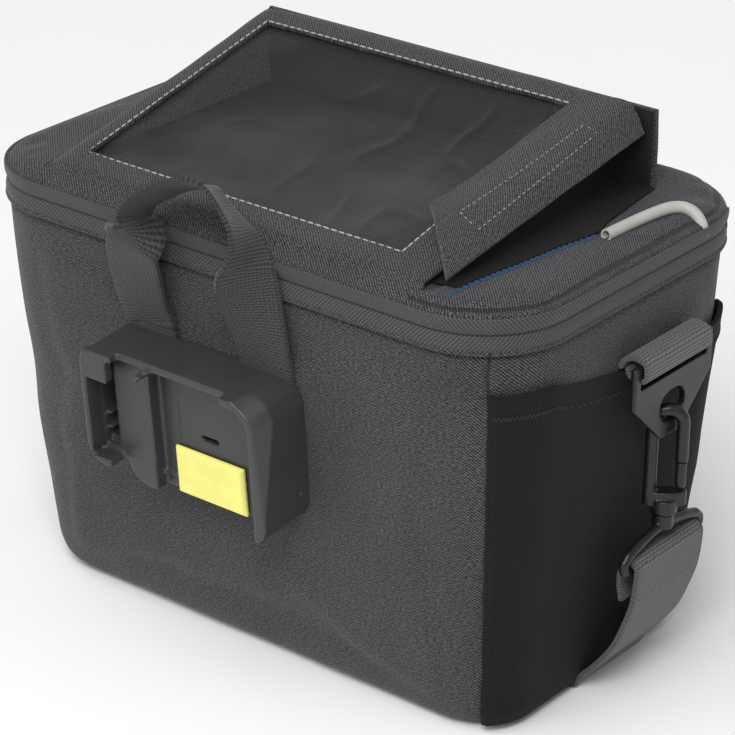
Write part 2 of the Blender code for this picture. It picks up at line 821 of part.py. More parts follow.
def make_hook(name, side, metal, with_gate):
    """The snap hook: collar, base, spine, arch and nose, with its gate shut in one piece if asked."""
    frame = hook_frame(side)
    path = [Vector((-HOOK_RADIUS, 0, HOOK_BASE / 2)), Vector((-HOOK_RADIUS, 0, HOOK_LENGTH * 0.7))]
    for step in range(9):
        angle = math.pi - math.pi * step / 8
        path.append(Vector((HOOK_RADIUS * math.cos(angle), 0, HOOK_LENGTH + HOOK_RADIUS * math.sin(angle))))
    path.append(Vector((HOOK_RADIUS, 0, HOOK_LENGTH - HOOK_NOSE)))
    radii = [HOOK_WIRE] * len(path)
    hook = solid(name, *placed(loft(tube_loops(path, radii)), frame), metal)
    wide = (HOOK_RADIUS + HOOK_WIRE * 1.05) / (HOOK_WIRE * 1.3)
    base = round_bar(HOOK_WIRE * 1.3, 0, HOOK_BASE, wide=wide)
    collar = round_bar(COLLAR_RADIUS, -COLLAR_HEIGHT, HOOK_BASE / 2)
    parts = {"base": base, "collar": collar}
    if with_gate:
        nose = HOOK_LENGTH - HOOK_NOSE
        parts["gate"] = round_bar(GATE_RADIUS, HOOK_BASE / 2, nose + HOOK_WIRE, 12, centre=HOOK_RADIUS)
    for kind, shape in parts.items():
        combine(hook, cutter(f"cutter_{name}_{kind}", *placed(shape, frame)), "UNION")
    return hook


def make_gate(name, metal):
    """The spring gate, hung on an empty that stands on its pivot."""
    frame = hook_frame(1)
    pivot = bpy.data.objects.new("gate_pivot", None)
    bpy.context.collection.objects.link(pivot)
    pivot.matrix_world = frame @ Matrix.Translation((HOOK_RADIUS, 0, gate_foot()))
    path, radii = gate_route()
    drop = Vector((HOOK_RADIUS, 0, gate_foot()))
    loops = tube_loops([p - drop for p in path], radii)
    gate = solid(name, *loft(loops), metal)
    gate.parent = pivot
    return gate


def ring_bar():
    """Height of the middle of the ring's lower bar."""
    post_foot = hook_top() - HOOK_LENGTH - COLLAR_HEIGHT - GAP - POST_HEIGHT
    return post_foot - RING_SLOPE - RING_DROP


def make_ring(name, side, metal):
    """The strap's ring: a sloping-shouldered loop of wire under a swivel post."""
    crest = ring_bar() + RING_SLOPE + RING_DROP
    reach = STRAP_WEBBING / 2 + RING_WIRE + 4 * GAP
    outline = [
        (0.0, crest),
        (0.55 * reach, crest - 0.42 * RING_SLOPE),
        (0.90 * reach, crest - 0.86 * RING_SLOPE),
        (reach, crest - 1.25 * RING_SLOPE),
        (reach, ring_bar() + 0.0030),
        (0.96 * reach, ring_bar() + 0.0006),
        (0.90 * reach, ring_bar()),
        (0.40 * reach, ring_bar()),
    ]
    outline += [(-y, z) for y, z in reversed(outline[1:])]
    path = [Vector((side * tab_middle(), FITTING_Y + y, z)) for y, z in outline]
    made = tube(name, path, RING_WIRE, metal, closed=True)
    post = round_bar(POST_RADIUS, crest - POST_HEIGHT * 0.35, crest + POST_HEIGHT)
    frame = Matrix.Translation((side * tab_middle(), FITTING_Y, 0))
    combine(made, cutter(f"cutter_{name}_post", *placed(post, frame)), "UNION")
    return made


def make_strap(webbing):
    """The strap runs from one ring down its end, under the bag and up to the other ring."""
    bar = tab_middle()
    height = ring_bar()
    turn = RING_WIRE + 2 * GAP + STRAP_THICKNESS / 2
    low = GAP + STRAP_THICKNESS / 2
    edge = half_width(0) - WALL / 2
    right = [
        (bar - turn + 0.0008, height - STRAP_FOLD),
        (bar - turn - 0.0004, height - 0.5 * STRAP_FOLD),
        (bar - turn, height),
        (bar - turn * 0.7, height + turn * 0.7),
        (bar, height + turn),
        (bar + turn * 0.7, height + turn * 0.7),
        (bar + turn, height),
    ]
    right += [(edge + reach * (bar - edge), up * height) for up, reach in STRAP_DROP]
    right.append((edge, low))
    half = smooth([Vector((x, FITTING_Y, z)) for x, z in right], 2)
    points = half + sided(reversed(half), -1)
    rows = [(p, Vector((0, 1, 0))) for p in points]
    return ribbon("shoulder_strap", rows, STRAP_WEBBING, STRAP_THICKNESS, webbing)


def main():
    for old in list(bpy.data.objects):
        bpy.data.objects.remove(old)
    fabric = material("graphite_fabric", (0.050, 0.049, 0.056), 0.85)
    stretch = material("black_stretch", (0.016, 0.016, 0.017), 0.90)
    zip_cloth = material("zip_tape", (0.070, 0.070, 0.070), 0.75)
    lining = material("dark_lining", (0.022, 0.022, 0.021), 0.80)
    film = material("clear_film", (0.60, 0.60, 0.58), 0.08, alpha=0.25)
    webbing = material("grey_webbing", (0.075, 0.074, 0.070), 0.80)
    plastic = material("graphite_plastic", (0.085, 0.088, 0.082), 0.50)
    yellow = material("yellow_plastic", (0.90, 0.84, 0.16), 0.45)
    hardware = material("black_hardware", (0.042, 0.044, 0.040), 0.38)
    reflective = material("light_piping", (0.48, 0.48, 0.45), 0.45)
    material("cutter", (0.5, 0.5, 0.5), 0.5)

    make_body(fabric)
    far_corner = CORNER_STEPS // 3
    left_corner = CORNER_STEPS + SIDE_STEPS + CORNER_STEPS - far_corner
    make_band("zip_band", left_corner, RING_COUNT + far_corner, zip_cloth)
    make_band("lid_hinge", far_corner, left_corner, fabric)
    make_lid(fabric)
    make_pocket_floor(lining)
    make_pocket_frame(fabric)
    make_pocket_window(film)
    make_pocket_walls(fabric)
    make_pocket_flap(fabric)
    make_piping(reflective)
    make_handle(webbing)
    make_plate(plastic)
    make_insert(yellow)

    middle = CORNER_STEPS // 2
    quarter = CORNER_STEPS + SIDE_STEPS
    make_side_pocket("side_pocket_right", 3 * quarter + middle, 4 * quarter + middle, False, stretch)
    make_side_pocket("side_pocket_left", quarter + middle, 2 * quarter + middle, True, stretch)
    for word, side in (("right", 1), ("left", -1)):
        make_loop("strap_loop_" + word, side, webbing)
        make_tab("strap_tab_" + word, side, hardware)
        make_hook("snap_hook_" + word, side, hardware, side < 0)
        make_ring("strap_ring_" + word, side, hardware)
    make_gate("hook_gate_right", hardware)
    make_strap(webbing)
    for made in bpy.data.objects:
        if made.parent is None:
            made.location.y += MIDDLE_SHIFT


main()
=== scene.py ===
"""The looks of a bicycle handlebar bag: a padded box, a lid with a map pocket, and a shoulder strap."""
import math

import bpy
from mathutils import Matrix, Vector, noise
from mathutils.bvhtree import BVHTree


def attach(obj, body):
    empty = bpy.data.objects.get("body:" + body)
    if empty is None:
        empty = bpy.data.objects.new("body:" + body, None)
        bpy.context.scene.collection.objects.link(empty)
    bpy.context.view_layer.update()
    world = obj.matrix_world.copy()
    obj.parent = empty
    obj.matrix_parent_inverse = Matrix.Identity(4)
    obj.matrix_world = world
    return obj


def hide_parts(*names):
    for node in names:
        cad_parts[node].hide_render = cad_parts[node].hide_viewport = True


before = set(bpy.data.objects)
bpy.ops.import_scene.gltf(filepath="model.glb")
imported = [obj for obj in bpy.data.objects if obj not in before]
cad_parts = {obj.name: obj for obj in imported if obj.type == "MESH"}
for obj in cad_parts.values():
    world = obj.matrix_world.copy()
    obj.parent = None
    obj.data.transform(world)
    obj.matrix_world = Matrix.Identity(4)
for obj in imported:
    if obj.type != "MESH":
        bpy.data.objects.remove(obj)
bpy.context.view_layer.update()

# Sizes in metres, as in the part's own source. Shapes are made round the bag's middle and moved at the end.
MIDDLE_SHIFT = 0.0118
RIM_WIDTH = 0.257
RIM_DEPTH = 0.166
RIM_HEIGHT = 0.1645
CORNER_RADIUS = 0.036
GAP = 0.0003
BAND_HEIGHT = 0.0072
LID_HEIGHT = 0.0080
CLOTH = 0.0016
LINING = 0.0010
POCKET_LEFT = 0.090
POCKET_RIGHT = 0.088
POCKET_NEAR_INSET = 0.007
POCKET_RUN = 0.1306
POCKET_RISE = 0.0302
WINDOW_NEAR_MARGIN = 0.013
WINDOW_FAR_MARGIN = 0.0132
WINDOW_LEFT_MARGIN = 0.009
WINDOW_RIGHT_MARGIN = 0.019
FLAP_WIDTH = 0.029
FLAP_LIFT = 0.006
FLAP_DROP = 0.010
FLAP_NEAR_SKEW = 0.030
PIPING_RADIUS = 0.0024
POCKET_SKIN = 0.0012
POCKET_FLARE = 0.0008
HANDLE_WEBBING = 0.025
HANDLE_THICKNESS = 0.002
HANDLE_SPAN = 0.058
HANDLE_RISE = 0.0678
HANDLE_REACH = 0.012
HANDLE_CENTRE = -0.0065
HANDLE_FOOT = 0.1349
STRAP_WEBBING = 0.044
STRAP_THICKNESS = 0.0018
FITTING_Y = 0.010
TAB_TOP = 0.1424
TAB_BAR = 0.0045
TAB_MIDDLE = 0.13724
RING_BAR = 0.05895
RING_WIRE = 0.0021
STRAP_FOLD = 0.0135

# Shares of the height, width, depth and corner radius
BODY_SECTIONS = (
    (0.0, 0.862, 0.735, 0.56),
    (0.014, 0.887, 0.776, 0.62),
    (0.05, 0.904, 0.803, 0.66),
    (0.12, 0.912, 0.82, 0.70),
    (0.42, 0.952, 0.893, 0.82),
    (0.82, 0.989, 0.97, 0.96),
    (1.0, 1.0, 1.0, 1.0),
)
# Share of the lid's height, and its inset as a share of the corner radius
LID_SECTIONS = ((0.0, 0.015), (0.25, -0.03), (0.6, -0.01), (0.88, 0.12), (1.0, 0.3))
# Share along the hem, share of the height, flare
HEM_SECTIONS = (
    (0.0, 0.893, 0.0),
    (0.28, 0.893, 0.0),
    (0.40, 0.855, 0.0),
    (0.46, 0.838, 0.0),
    (0.66, 0.812, 0.0),
    (0.80, 0.815, 0.2),
    (1.0, 0.822, 1.0),
)
# Share across the flap, lift, drop
FLAP_SECTIONS = ((0.0, 0.0, 0.0), (0.35, 0.45, 0.0), (0.75, 0.40, 0.0), (0.89, 0.22, 0.40), (1.0, 0.0, 1.0))
# Across, up and out as shares, and the direction of the width
HANDLE_SECTIONS = (
    (-0.474, 0.000, 0.06, 1, 0, 0),
    (-0.515, 0.152, 0.20, 1, 0, 0),
    (-0.495, 0.360, 0.51, 1, 0, 0),
    (-0.436, 0.520, 0.88, 1.00, -0.05, -0.05),
    (-0.392, 0.600, 0.95, 0.75, 0.35, -0.56),
    (-0.380, 0.665, 0.92, 0.20, 0.76, -0.60),
    (-0.396, 0.725, 0.86, -0.21, 0.85, -0.49),
    (-0.326, 0.811, 0.77, -0.29, 0.83, -0.47),
    (-0.155, 0.914, 0.61, -0.29, 0.83, -0.47),
    (-0.005, 0.956, 0.49, -0.25, 0.87, -0.43),
    (0.137, 0.958, 0.45, -0.33, 0.82, -0.46),
    (0.262, 0.872, 0.44, -0.33, 0.82, -0.44),
    (0.382, 0.791, 0.50, -0.20, 0.88, -0.42),
    (0.452, 0.705, 0.56, -0.12, 0.97, -0.14),
    (0.478, 0.620, 0.66, 0.32, 0.90, -0.28),
    (0.470, 0.532, 0.66, 0.62, 0.78, -0.16),
    (0.462, 0.368, 0.40, 0.90, 0.42, 0),
    (0.477, 0.200, 0.20, 1, 0.10, 0),
    (0.495, 0.000, 0.06, 1, 0, 0),
)
# The share of its width that the webbing keeps where it is folded over
HANDLE_GATHER = (1, 1, 1, 0.98, 0.92, 0.92, 0.96, 1, 1, 0.98, 0.94, 0.92, 0.90, 0.88, 0.86, 0.90, 0.96, 1, 1)
# The strap below its ring: share of the ring's height, and reach from the base's edge to the ring
STRAP_DROP = (
    (0.78, 1.08),
    (0.58, 0.95),
    (0.41, 0.80),
    (0.25, 0.57),
    (0.125, 0.345),
    (0.064, 0.27),
    (0.028, 0.222),
    (0.021, 0.13),
)
LID_BASE = RIM_HEIGHT + BAND_HEIGHT + GAP
LID_TOP = LID_BASE + LID_HEIGHT
SEAM_HEIGHT = 0.1783
# Y and X of the lining's right edge, which ends at the coloured stitching
LINING_EDGE = (
    (-0.080, 0.0965),
    (-0.049, 0.1003),
    (-0.0165, 0.1038),
    (0.0035, 0.1076),
    (0.014, 0.104),
    (0.060, 0.098),
)
# Y and height of the lid's rounded near side, from the zip up and over
NEAR_RIM = ((-0.0843, 0.1752), (-0.0836, 0.1770), (-0.0806, 0.1787), (-0.0772, 0.1795))
# The zip's lower and upper tape: heights, how far each edge stands out, and its bulge
ZIP_TAPES = (
    (0.1640, 0.1701, -0.0002, -0.0007, 0.0006),
    (0.1705, 0.1766, -0.0007, 0.0004, 0.0006),
)
# Pixels of the photograph: its side, and where the camera's axis crosses it
PHOTO_SIDE = 735
PHOTO_AXIS = (352.95, 359.61)
# Turns round the rim, of which there are 40 in all, where the stretch pockets start and end
RIGHT_POCKET_TURNS = (32.7, 43)
LEFT_POCKET_TURNS = (13, 21.3)
POCKET_TILT = math.atan2(POCKET_RISE, POCKET_RUN)
POCKET_NEAR = -RIM_DEPTH / 2 + POCKET_NEAR_INSET
POCKET_LENGTH = math.hypot(POCKET_RUN, POCKET_RISE)
WINDOW = (
    -POCKET_LEFT + WINDOW_LEFT_MARGIN,
    POCKET_RIGHT - WINDOW_RIGHT_MARGIN,
    WINDOW_NEAR_MARGIN,
    POCKET_LENGTH - WINDOW_FAR_MARGIN,
)


# Finishes
def operator(operation, swapped=False):
    def apply(self, other):
        first, second = (other, self) if swapped else (self, other)
        return self.finish.maths(operation, first, second)

    return apply


class Value:
    """A socket with a number in it, which takes part in sums as a number does."""

    def __init__(self, finish, socket):
        self.finish = finish
        self.socket = socket

    __add__ = operator("ADD")
    __radd__ = operator("ADD", True)
    __sub__ = operator("SUBTRACT")
    __rsub__ = operator("SUBTRACT", True)
    __mul__ = operator("MULTIPLY")
    __rmul__ = operator("MULTIPLY", True)
    __truediv__ = operator("DIVIDE")
    __rtruediv__ = operator("DIVIDE", True)
    __pow__ = operator("POWER")


class Finish:
    """A material on one Principled shader, and the nodes behind it."""

    def __init__(self, name, **fixed):
        self.material = bpy.data.materials.new(name)
        self.material.use_nodes = True
        self.tree = self.material.node_tree
        self.tree.nodes.clear()
        self.shader = self.node("ShaderNodeBsdfPrincipled")
        for word, value in fixed.items():
            self.shader.inputs[word.replace("_", " ").title().replace("Ior", "IOR")].default_value = value
        self.end = self.node("ShaderNodeOutputMaterial", links={"Surface": self.shader.outputs[0]})

    def node(self, kind, settings=None, links=None):
        made = self.tree.nodes.new(kind)
        for word, value in (settings or {}).items():
            setattr(made, word, value)
        for key, value in (links or {}).items():
            socket = made.inputs[key]
            if isinstance(value, Value):
                value = value.socket
            if isinstance(value, bpy.types.NodeSocket):
                self.tree.links.new(value, socket)
            else:
                socket.default_value = value
        return made

    def maths(self, operation, first, second=0.0, clamp=False):
        settings = {"operation": operation, "use_clamp": clamp}
        made = self.node("ShaderNodeMath", settings, {0: first, 1: second})
        return Value(self, made.outputs[0])

    def clamp(self, value):
        return self.maths("ADD", value, 0.0, True)

    def band(self, value, low, high):
        """From 0 at low to 1 at high, smoothly."""
        made = self.node(
            "ShaderNodeMapRange",
            {"interpolation_type": "SMOOTHSTEP"},
            {"Value": value, "From Min": low, "From Max": high, "To Min": 0.0, "To Max": 1.0},
        )
        return Value(self, made.outputs[0])

    def line(self, distance, half):
        """1 on a line and 0 beyond half its width."""
        return 1 - self.band(self.maths("ABSOLUTE", distance), half * 0.35, half)

    def place(self):
        points = self.node("ShaderNodeTexCoord").outputs["Object"]
        split = self.node("ShaderNodeSeparateXYZ", links={0: points})
        return [Value(self, split.outputs[i]) for i in range(3)]

    def flat(self):
        points = self.node("ShaderNodeUVMap", {"uv_map": "UVMap"}).outputs[0]
        split = self.node("ShaderNodeSeparateXYZ", links={0: points})
        return [Value(self, split.outputs[i]) for i in range(2)]

    def join(self, x, y, z=0.0):
        return self.node("ShaderNodeCombineXYZ", links={0: x, 1: y, 2: z}).outputs[0]

    def wave(self, value, pitch):
        """A sine of a length, from -1 to 1."""
        return self.maths("SINE", value * (2 * math.pi / pitch))

    def cloud(self, point, scale, detail=2.0, rough=0.5):
        """Noise from about 0 to 1."""
        links = {"Vector": point, "Scale": scale, "Detail": detail, "Roughness": rough}
        return Value(self, self.node("ShaderNodeTexNoise", links=links).outputs[0])

    def mix(self, share, first, second):
        made = self.node("ShaderNodeMix", {"data_type": "RGBA"}, {0: share, 6: first, 7: second})
        return made.outputs[2]

    def colour(self, socket):
        self.tree.links.new(socket, self.shader.inputs["Base Color"])

    def rough(self, value):
        self.tree.links.new(value.socket, self.shader.inputs["Roughness"])

    def relief(self, height, metres, strength=1.0):
        """Bump of a height from about 0 to 1, where 1 is so many metres."""
        links = {"Height": height, "Distance": metres, "Strength": strength}
        made = self.node("ShaderNodeBump", links=links)
        self.tree.links.new(made.outputs[0], self.shader.inputs["Normal"])


def grey(value, tint=(1.0, 1.0, 1.0)):
    return (value * tint[0], value * tint[1], value * tint[2], 1.0)


def heather_finish(name, seams=False, dark=0.0072, light=0.128, lid_seam=False):
    """Two-tone polyester twill: dark yarn with paler flecks and a fine diagonal."""
    made = Finish(name, roughness=0.86, sheen_weight=0.12, sheen_roughness=0.5, specular_ior_level=0.25)
    x, y, z = made.place()
    u, v = made.flat()
    drift = made.cloud(made.join(u, v), 120.0, 2.0) * 0.0004
    diagonal = made.wave(u + v + drift, 0.00132)
    crossing = made.wave(u - 1.5 * v + drift, 0.00171)
    yarn = made.cloud(made.join(u * 0.7, v * 1.5), 1050.0, 2.0, 0.6)
    spread = made.cloud(made.join(u * 0.6, v * 1.7), 2100.0, 1.0)
    patch = made.cloud(made.join(x, y, z), 38.0, 3.0)
    weave = diagonal * 0.36 + crossing * 0.13
    light_share = made.clamp(0.27 + (yarn - 0.5) * 1.9 + weave + (spread - 0.5))
    tint = (0.98, 0.97, 1.06)
    tone = made.mix(light_share, grey(dark, tint), grey(light, tint))
    tone = made.mix(made.clamp((patch - 0.42) * 0.55), tone, grey(dark * 1.3, tint))
    height = 0.5 + diagonal * 0.22 + crossing * 0.16 + (yarn - 0.5) * 0.9
    if seams:
        across = y - MIDDLE_SHIFT
        wobble = (made.cloud(made.join(0.0, 0.0, z), 55.0, 2.0) - 0.5) * 0.0034
        away = made.maths("ABSOLUTE", x) - made.maths("ABSOLUTE", across)
        _, foot_width, foot_depth, _ = BODY_SECTIONS[0]
        low_gap = foot_width * RIM_WIDTH / 2 - foot_depth * RIM_DEPTH / 2 - 0.0020
        high_gap = RIM_WIDTH / 2 - RIM_DEPTH / 2 - 0.0036
        line = made.line(away - (low_gap + (high_gap - low_gap) * (z / RIM_HEIGHT)) + wobble, 0.0011)
        tone = made.mix(line * 0.75, tone, grey(0.008))
        height = height - line * 4.0
    if lid_seam:
        line = made.line(z - SEAM_HEIGHT, 0.0007) * made.band(x, 0.045, 0.085)
        tone = made.mix(line * 0.7, tone, grey(0.008))
        height = height - line * 3.0
    made.colour(tone)
    made.relief(height, 0.00016, 0.75)
    return made.material


def stretch_finish(name):
    """Matt black elastic knit with faint upright ribs and a broken surface."""
    made = Finish(name, roughness=0.9, sheen_weight=0.03, sheen_roughness=0.6, specular_ior_level=0.15)
    x, y, z = made.place()
    u, v = made.flat()
    rib = made.wave(u, 0.0011)
    knot = made.wave(v, 0.0016)
    cloud = made.cloud(made.join(x, y, z), 900.0, 2.0)
    patch = made.cloud(made.join(x, y, z), 30.0, 3.0)
    share = made.clamp(0.35 + rib * 0.18 + knot * 0.12 + (cloud - 0.5))
    tone = made.mix(share, grey(0.0035), grey(0.0130))
    tone = made.mix(made.clamp((patch - 0.4) * 0.8), tone, grey(0.012))
    made.colour(tone)
    made.relief(0.5 + rib * 0.25 + knot * 0.2 + (cloud - 0.5) * 0.6, 0.00014, 0.6)
    return made.material


def webbing_finish(name, dark, light, edge):
    """Flat woven webbing: ribs across its width, paired warp lines and firm edges."""
    made = Finish(name, roughness=0.8, sheen_weight=0.15, sheen_roughness=0.5, specular_ior_level=0.25)
    u, v = made.flat()
    shift = made.cloud(made.join(u * 40.0, v * 260.0), 1.0, 2.0) * 0.0007
    rib = made.wave(u + shift, 0.00125)
    warp = made.wave(v, 0.00165)
    weave = made.wave(u + v * 0.9, 0.0023)
    fluff = made.cloud(made.join(u, v), 1400.0, 2.0)
    share = made.clamp(0.45 + rib * 0.30 + warp * 0.12 + weave * 0.10 + (fluff - 0.5) * 0.7)
    tone = made.mix(share, grey(dark), grey(light, (1.0, 0.99, 0.95)))
    border = made.band(made.maths("ABSOLUTE", v), edge - 0.0022, edge - 0.0008)
    tone = made.mix(border * 0.35, tone, grey(dark))
    made.colour(tone)
    made.relief(0.5 + rib * 0.42 + warp * 0.16 + weave * 0.12, 0.00028, 0.85)
    return made.material


def zip_finish(name):
    """Zip tape: a herringbone that turns at the groove where the teeth meet."""
    made = Finish(name, roughness=0.72, sheen_weight=0.10, specular_ior_level=0.3)
    u, v = made.flat()
    half = made.maths("ABSOLUTE", v)
    chevron = made.wave(u + half * 0.9, 0.00165)
    rib = made.wave(half, 0.00085)
    fluff = made.cloud(made.join(u, v), 1300.0, 2.0)
    share = made.clamp(0.42 + chevron * 0.30 + rib * 0.16 + (fluff - 0.5) * 0.6)
    tone = made.mix(share, grey(0.015), grey(0.092))
    groove = made.line(half, 0.00045)
    tone = made.mix(groove * 0.9, tone, grey(0.006))
    made.colour(tone)
    made.relief(0.5 + chevron * 0.3 + rib * 0.2 - groove * 2.5, 0.00018, 0.8)
    return made.material


def lining_finish(name):
    made = Finish(name, roughness=0.7, specular_ior_level=0.3)
    x, y, z = made.place()
    cloud = made.cloud(made.join(x, y, z), 36.0, 2.0)
    share = made.clamp(0.4 + (cloud - 0.5) * 1.2)
    made.colour(made.mix(share, grey(0.008), grey(0.014, (1.0, 1.0, 0.96))))
    return made.material


def film_finish(name):
    """Clear soft film: see-through straight on, and glossy with faint haze."""
    made = Finish(name, base_color=(0.20, 0.20, 0.19, 1.0), roughness=0.14, specular_ior_level=0.9)
    x, y, z = made.place()
    haze = made.cloud(made.join(x * 0.7, y, z), 30.0, 3.0)
    ripple = made.cloud(made.join(x * 0.55, y * 1.4, z), 62.0, 2.0)
    made.rough(0.10 + made.clamp(haze - 0.45) * 0.35)
    made.relief(ripple, 0.0020, 0.6)
    clear = made.node("ShaderNodeBsdfTransparent")
    facing = Value(made, made.node("ShaderNodeLayerWeight", links={"Blend": 0.5}).outputs["Facing"])
    share = made.clamp(0.03 + facing**3.0 * 0.24 + made.clamp(haze - 0.5) * 0.18)
    shaders = {0: share, 1: clear.outputs[0], 2: made.shader.outputs[0]}
    both = made.node("ShaderNodeMixShader", links=shaders)
    made.tree.links.new(both.outputs[0], made.end.inputs["Surface"])
    return made.material


def plastic_finish(name, tone, roughness, grain, wear=0.0):
    """Moulded plastic: spark-eroded grain, slight mottling, and edges rubbed smooth and paler."""
    made = Finish(name, specular_ior_level=0.45)
    x, y, z = made.place()
    fine = made.cloud(made.join(x, y, z), 2600.0, 2.0)
    patch = made.cloud(made.join(x, y, z), 90.0, 3.0)
    base = grey(1.0, tone)
    darker = grey(0.80, tone)
    colour = made.mix(made.clamp((patch - 0.35) * 1.3), darker, base)
    if wear:
        edge = Value(made, made.node("ShaderNodeNewGeometry").outputs["Pointiness"])
        rubbed = made.band(edge, 0.52, 0.60) * wear
        colour = made.mix(rubbed, colour, grey(1.7, tone))
    made.colour(colour)
    made.rough(roughness + (patch - 0.5) * 0.18 + (fine - 0.5) * 0.10)
    made.relief(fine, grain, 0.5)
    return made.material


def thread_finish(name, tone):
    made = Finish(name, roughness=0.7, specular_ior_level=0.35, sheen_weight=0.1)
    x, y, z = made.place()
    twist = made.wave(x + y * 1.3 + z * 1.7, 0.00055)
    made.colour(made.mix(made.clamp(0.5 + twist * 0.4), grey(0.6, tone), grey(1.0, tone)))
    made.relief(0.5 + twist * 0.5, 0.00006, 0.5)
    return made.material


def floor_finish(name):
    made = Finish(name, roughness=0.75, specular_ior_level=0.1)
    x, y, z = made.place()
    cloud = made.cloud(made.join(x, y, z), 3.0, 2.0)
    made.colour(made.mix(made.clamp(cloud), grey(0.90), grey(0.93)))
    return made.material


# Working on pieces as by hand
def only(piece):
    bpy.ops.object.select_all(action="DESELECT")
    piece.select_set(True)
    bpy.context.view_layer.objects.active = piece


def finish_with(piece, kind, **settings):
    only(piece)
    step = piece.modifiers.new(kind.lower(), kind)
    for word, value in settings.items():
        setattr(step, word, value)
    bpy.ops.object.modifier_apply(modifier=step.name)


def in_edit(piece, *steps):
    """Runs mesh operators on the whole of a piece."""
    only(piece)
    bpy.ops.object.mode_set(mode="EDIT")
    bpy.ops.mesh.select_all(action="SELECT")
    for step, settings in steps:
        step(**settings)
    bpy.ops.object.mode_set(mode="OBJECT")


def added(operator_to_run, **settings):
    """Adds an object with nothing selected before it."""
    bpy.ops.object.select_all(action="DESELECT")
    operator_to_run(**settings)
    return bpy.context.object


def soften(piece, angle=60):
    only(piece)
    bpy.ops.object.shade_smooth_by_angle(angle=math.radians(angle))


made_pieces = []


def keep(piece, name, material, slot, nodes=(), body="bag"):
    """Names a finished piece, gives it its finish and notes the body that it is put on at the end."""
    piece.name = name
    piece.data.name = name
    piece.data.materials.clear()
    piece.data.materials.append(material)
    made_pieces.append((piece, slot, nodes, body))
    return piece


def grid(columns, rows, place, rolled=False):
    """A flat grid, whose crossing points are then put in place one by one, with a UV map in metres."""
    piece = added(bpy.ops.mesh.primitive_grid_add, x_subdivisions=columns, y_subdivisions=rows, size=1)
    mesh = piece.data
    spots = [(round((v.co.x + 0.5) * columns), round((v.co.y + 0.5) * rows)) for v in mesh.vertices]
    points = {spot: place(*spot) for spot in spots}
    for vertex, spot in zip(mesh.vertices, spots):
        vertex.co = points[spot]
    lengths = [0.0]
    for i in range(columns):
        lengths.append(lengths[-1] + (points[i + 1, rows // 2] - points[i, rows // 2]).length)
    widths = [0.0]
    for j in range(rows):
        widths.append(widths[-1] + (points[columns // 2, j + 1] - points[columns // 2, j]).length)
    middle = 0.0 if rolled else widths[-1] / 2
    chart = mesh.uv_layers.active or mesh.uv_layers.new(name="UVMap")
    for loop in mesh.loops:
        i, j = spots[loop.vertex_index]
        chart.uv[loop.index].vector = (lengths[i], widths[j] - middle)
    if rolled:
        in_edit(piece, (bpy.ops.mesh.remove_doubles, {"threshold": 1e-6}))
    return piece


def recalculated(piece):
    in_edit(piece, (bpy.ops.mesh.normals_make_consistent, {"inside": False}))
    return piece


def thickened(piece, thickness, offset=-1, bevel=None, angle=60):
    """Gives a sheet its thickness and, where asked, edges rounded by a width in so many segments."""
    finish_with(piece, "SOLIDIFY", thickness=thickness, offset=offset)
    recalculated(piece)
    if bevel:
        width, segments = bevel
        sharp = math.radians(50)
        finish_with(piece, "BEVEL", width=width, segments=segments, limit_method="ANGLE", angle_limit=sharp)
    soften(piece, angle)
    return piece


def chart_by_side(piece):
    """A UV map in metres that runs on round the walls, with the top and bottom laid flat."""
    mesh = piece.data
    chart = mesh.uv_layers.active or mesh.uv_layers.new(name="UVMap")
    for face in mesh.polygons:
        middle = face.center
        level = abs(face.normal.z) > 0.75
        at_end = abs(middle.x) - RIM_WIDTH / 2 > abs(middle.y) - RIM_DEPTH / 2
        for k in face.loop_indices:
            p = mesh.vertices[mesh.loops[k].vertex_index].co
            if level:
                spot = (p.x, p.y)
            elif at_end:
                spot = (math.copysign(RIM_WIDTH / 2 + p.y + RIM_DEPTH / 2, middle.x), p.z)
            else:
                spot = (p.x if middle.y < 0 else 0.5 - p.x, p.z)
            chart.uv[k].vector = spot


def surface(piece):
    """The piece's surface, for finding points on it."""
    corners = [v.co.copy() for v in piece.data.vertices]
    return BVHTree.FromPolygons(corners, [list(p.vertices) for p in piece.data.polygons])


def dropped_on(target, x, y):
    """The point of a surface straight below a place, or None beside it."""
    return target.ray_cast(Vector((x, y, 0.25)), Vector((0, 0, -1)))[0]


def table_at(table, share):
    """A table's row at a share of its first column, between its rows in straight lines."""
    for low, high in zip(table, table[1:]):
        if share <= high[0]:
            t = (share - low[0]) / (high[0] - low[0])
            return [a + (b - a) * t for a, b in zip(low, high)]
    return list(table[-1])


def curve_at(points, i, t):
    """A Catmull-Rom curve through points, at a share of the stretch from point i to the next."""
    a, b, c, d = (points[min(max(i + k, 0), len(points) - 1)] for k in (-1, 0, 1, 2))
    return (b * 2 + (c - a) * t + (a * 2 - b * 5 + c * 4 - d) * t**2 + (b * 3 - a - c * 3 + d) * t**3) / 2


def smooth(points, steps):
    made = [curve_at(points, i, step / steps) for i in range(len(points) - 1) for step in range(steps)]
    return made + [points[-1]]


def eased(value, low, high):
    t = min(max((value - low) / (high - low), 0.0), 1.0)
    return t * t * (3 - 2 * t)


def rim_point(turn, width, depth, radius, height):
    """A point of a rounded rectangle: of each quarter's 10 turns the corner takes 6 and the side 4."""
    turn = turn % 40
    quarter = int(turn // 10)
    rest = turn - 10 * quarter
    signs = ((1, 1), (-1, 1), (-1, -1), (1, -1))

    def on_corner(which, share):
        sx, sy = signs[which % 4]
        angle = math.pi / 2 * (which + share)
        x = sx * (width / 2 - radius) + radius * math.cos(angle)
        y = sy * (depth / 2 - radius) + radius * math.sin(angle)
        return Vector((x, y, height))

    if rest <= 6:
        return on_corner(quarter, rest / 6)
    return on_corner(quarter, 1).lerp(on_corner(quarter + 1, 0), (rest - 6) / 4)


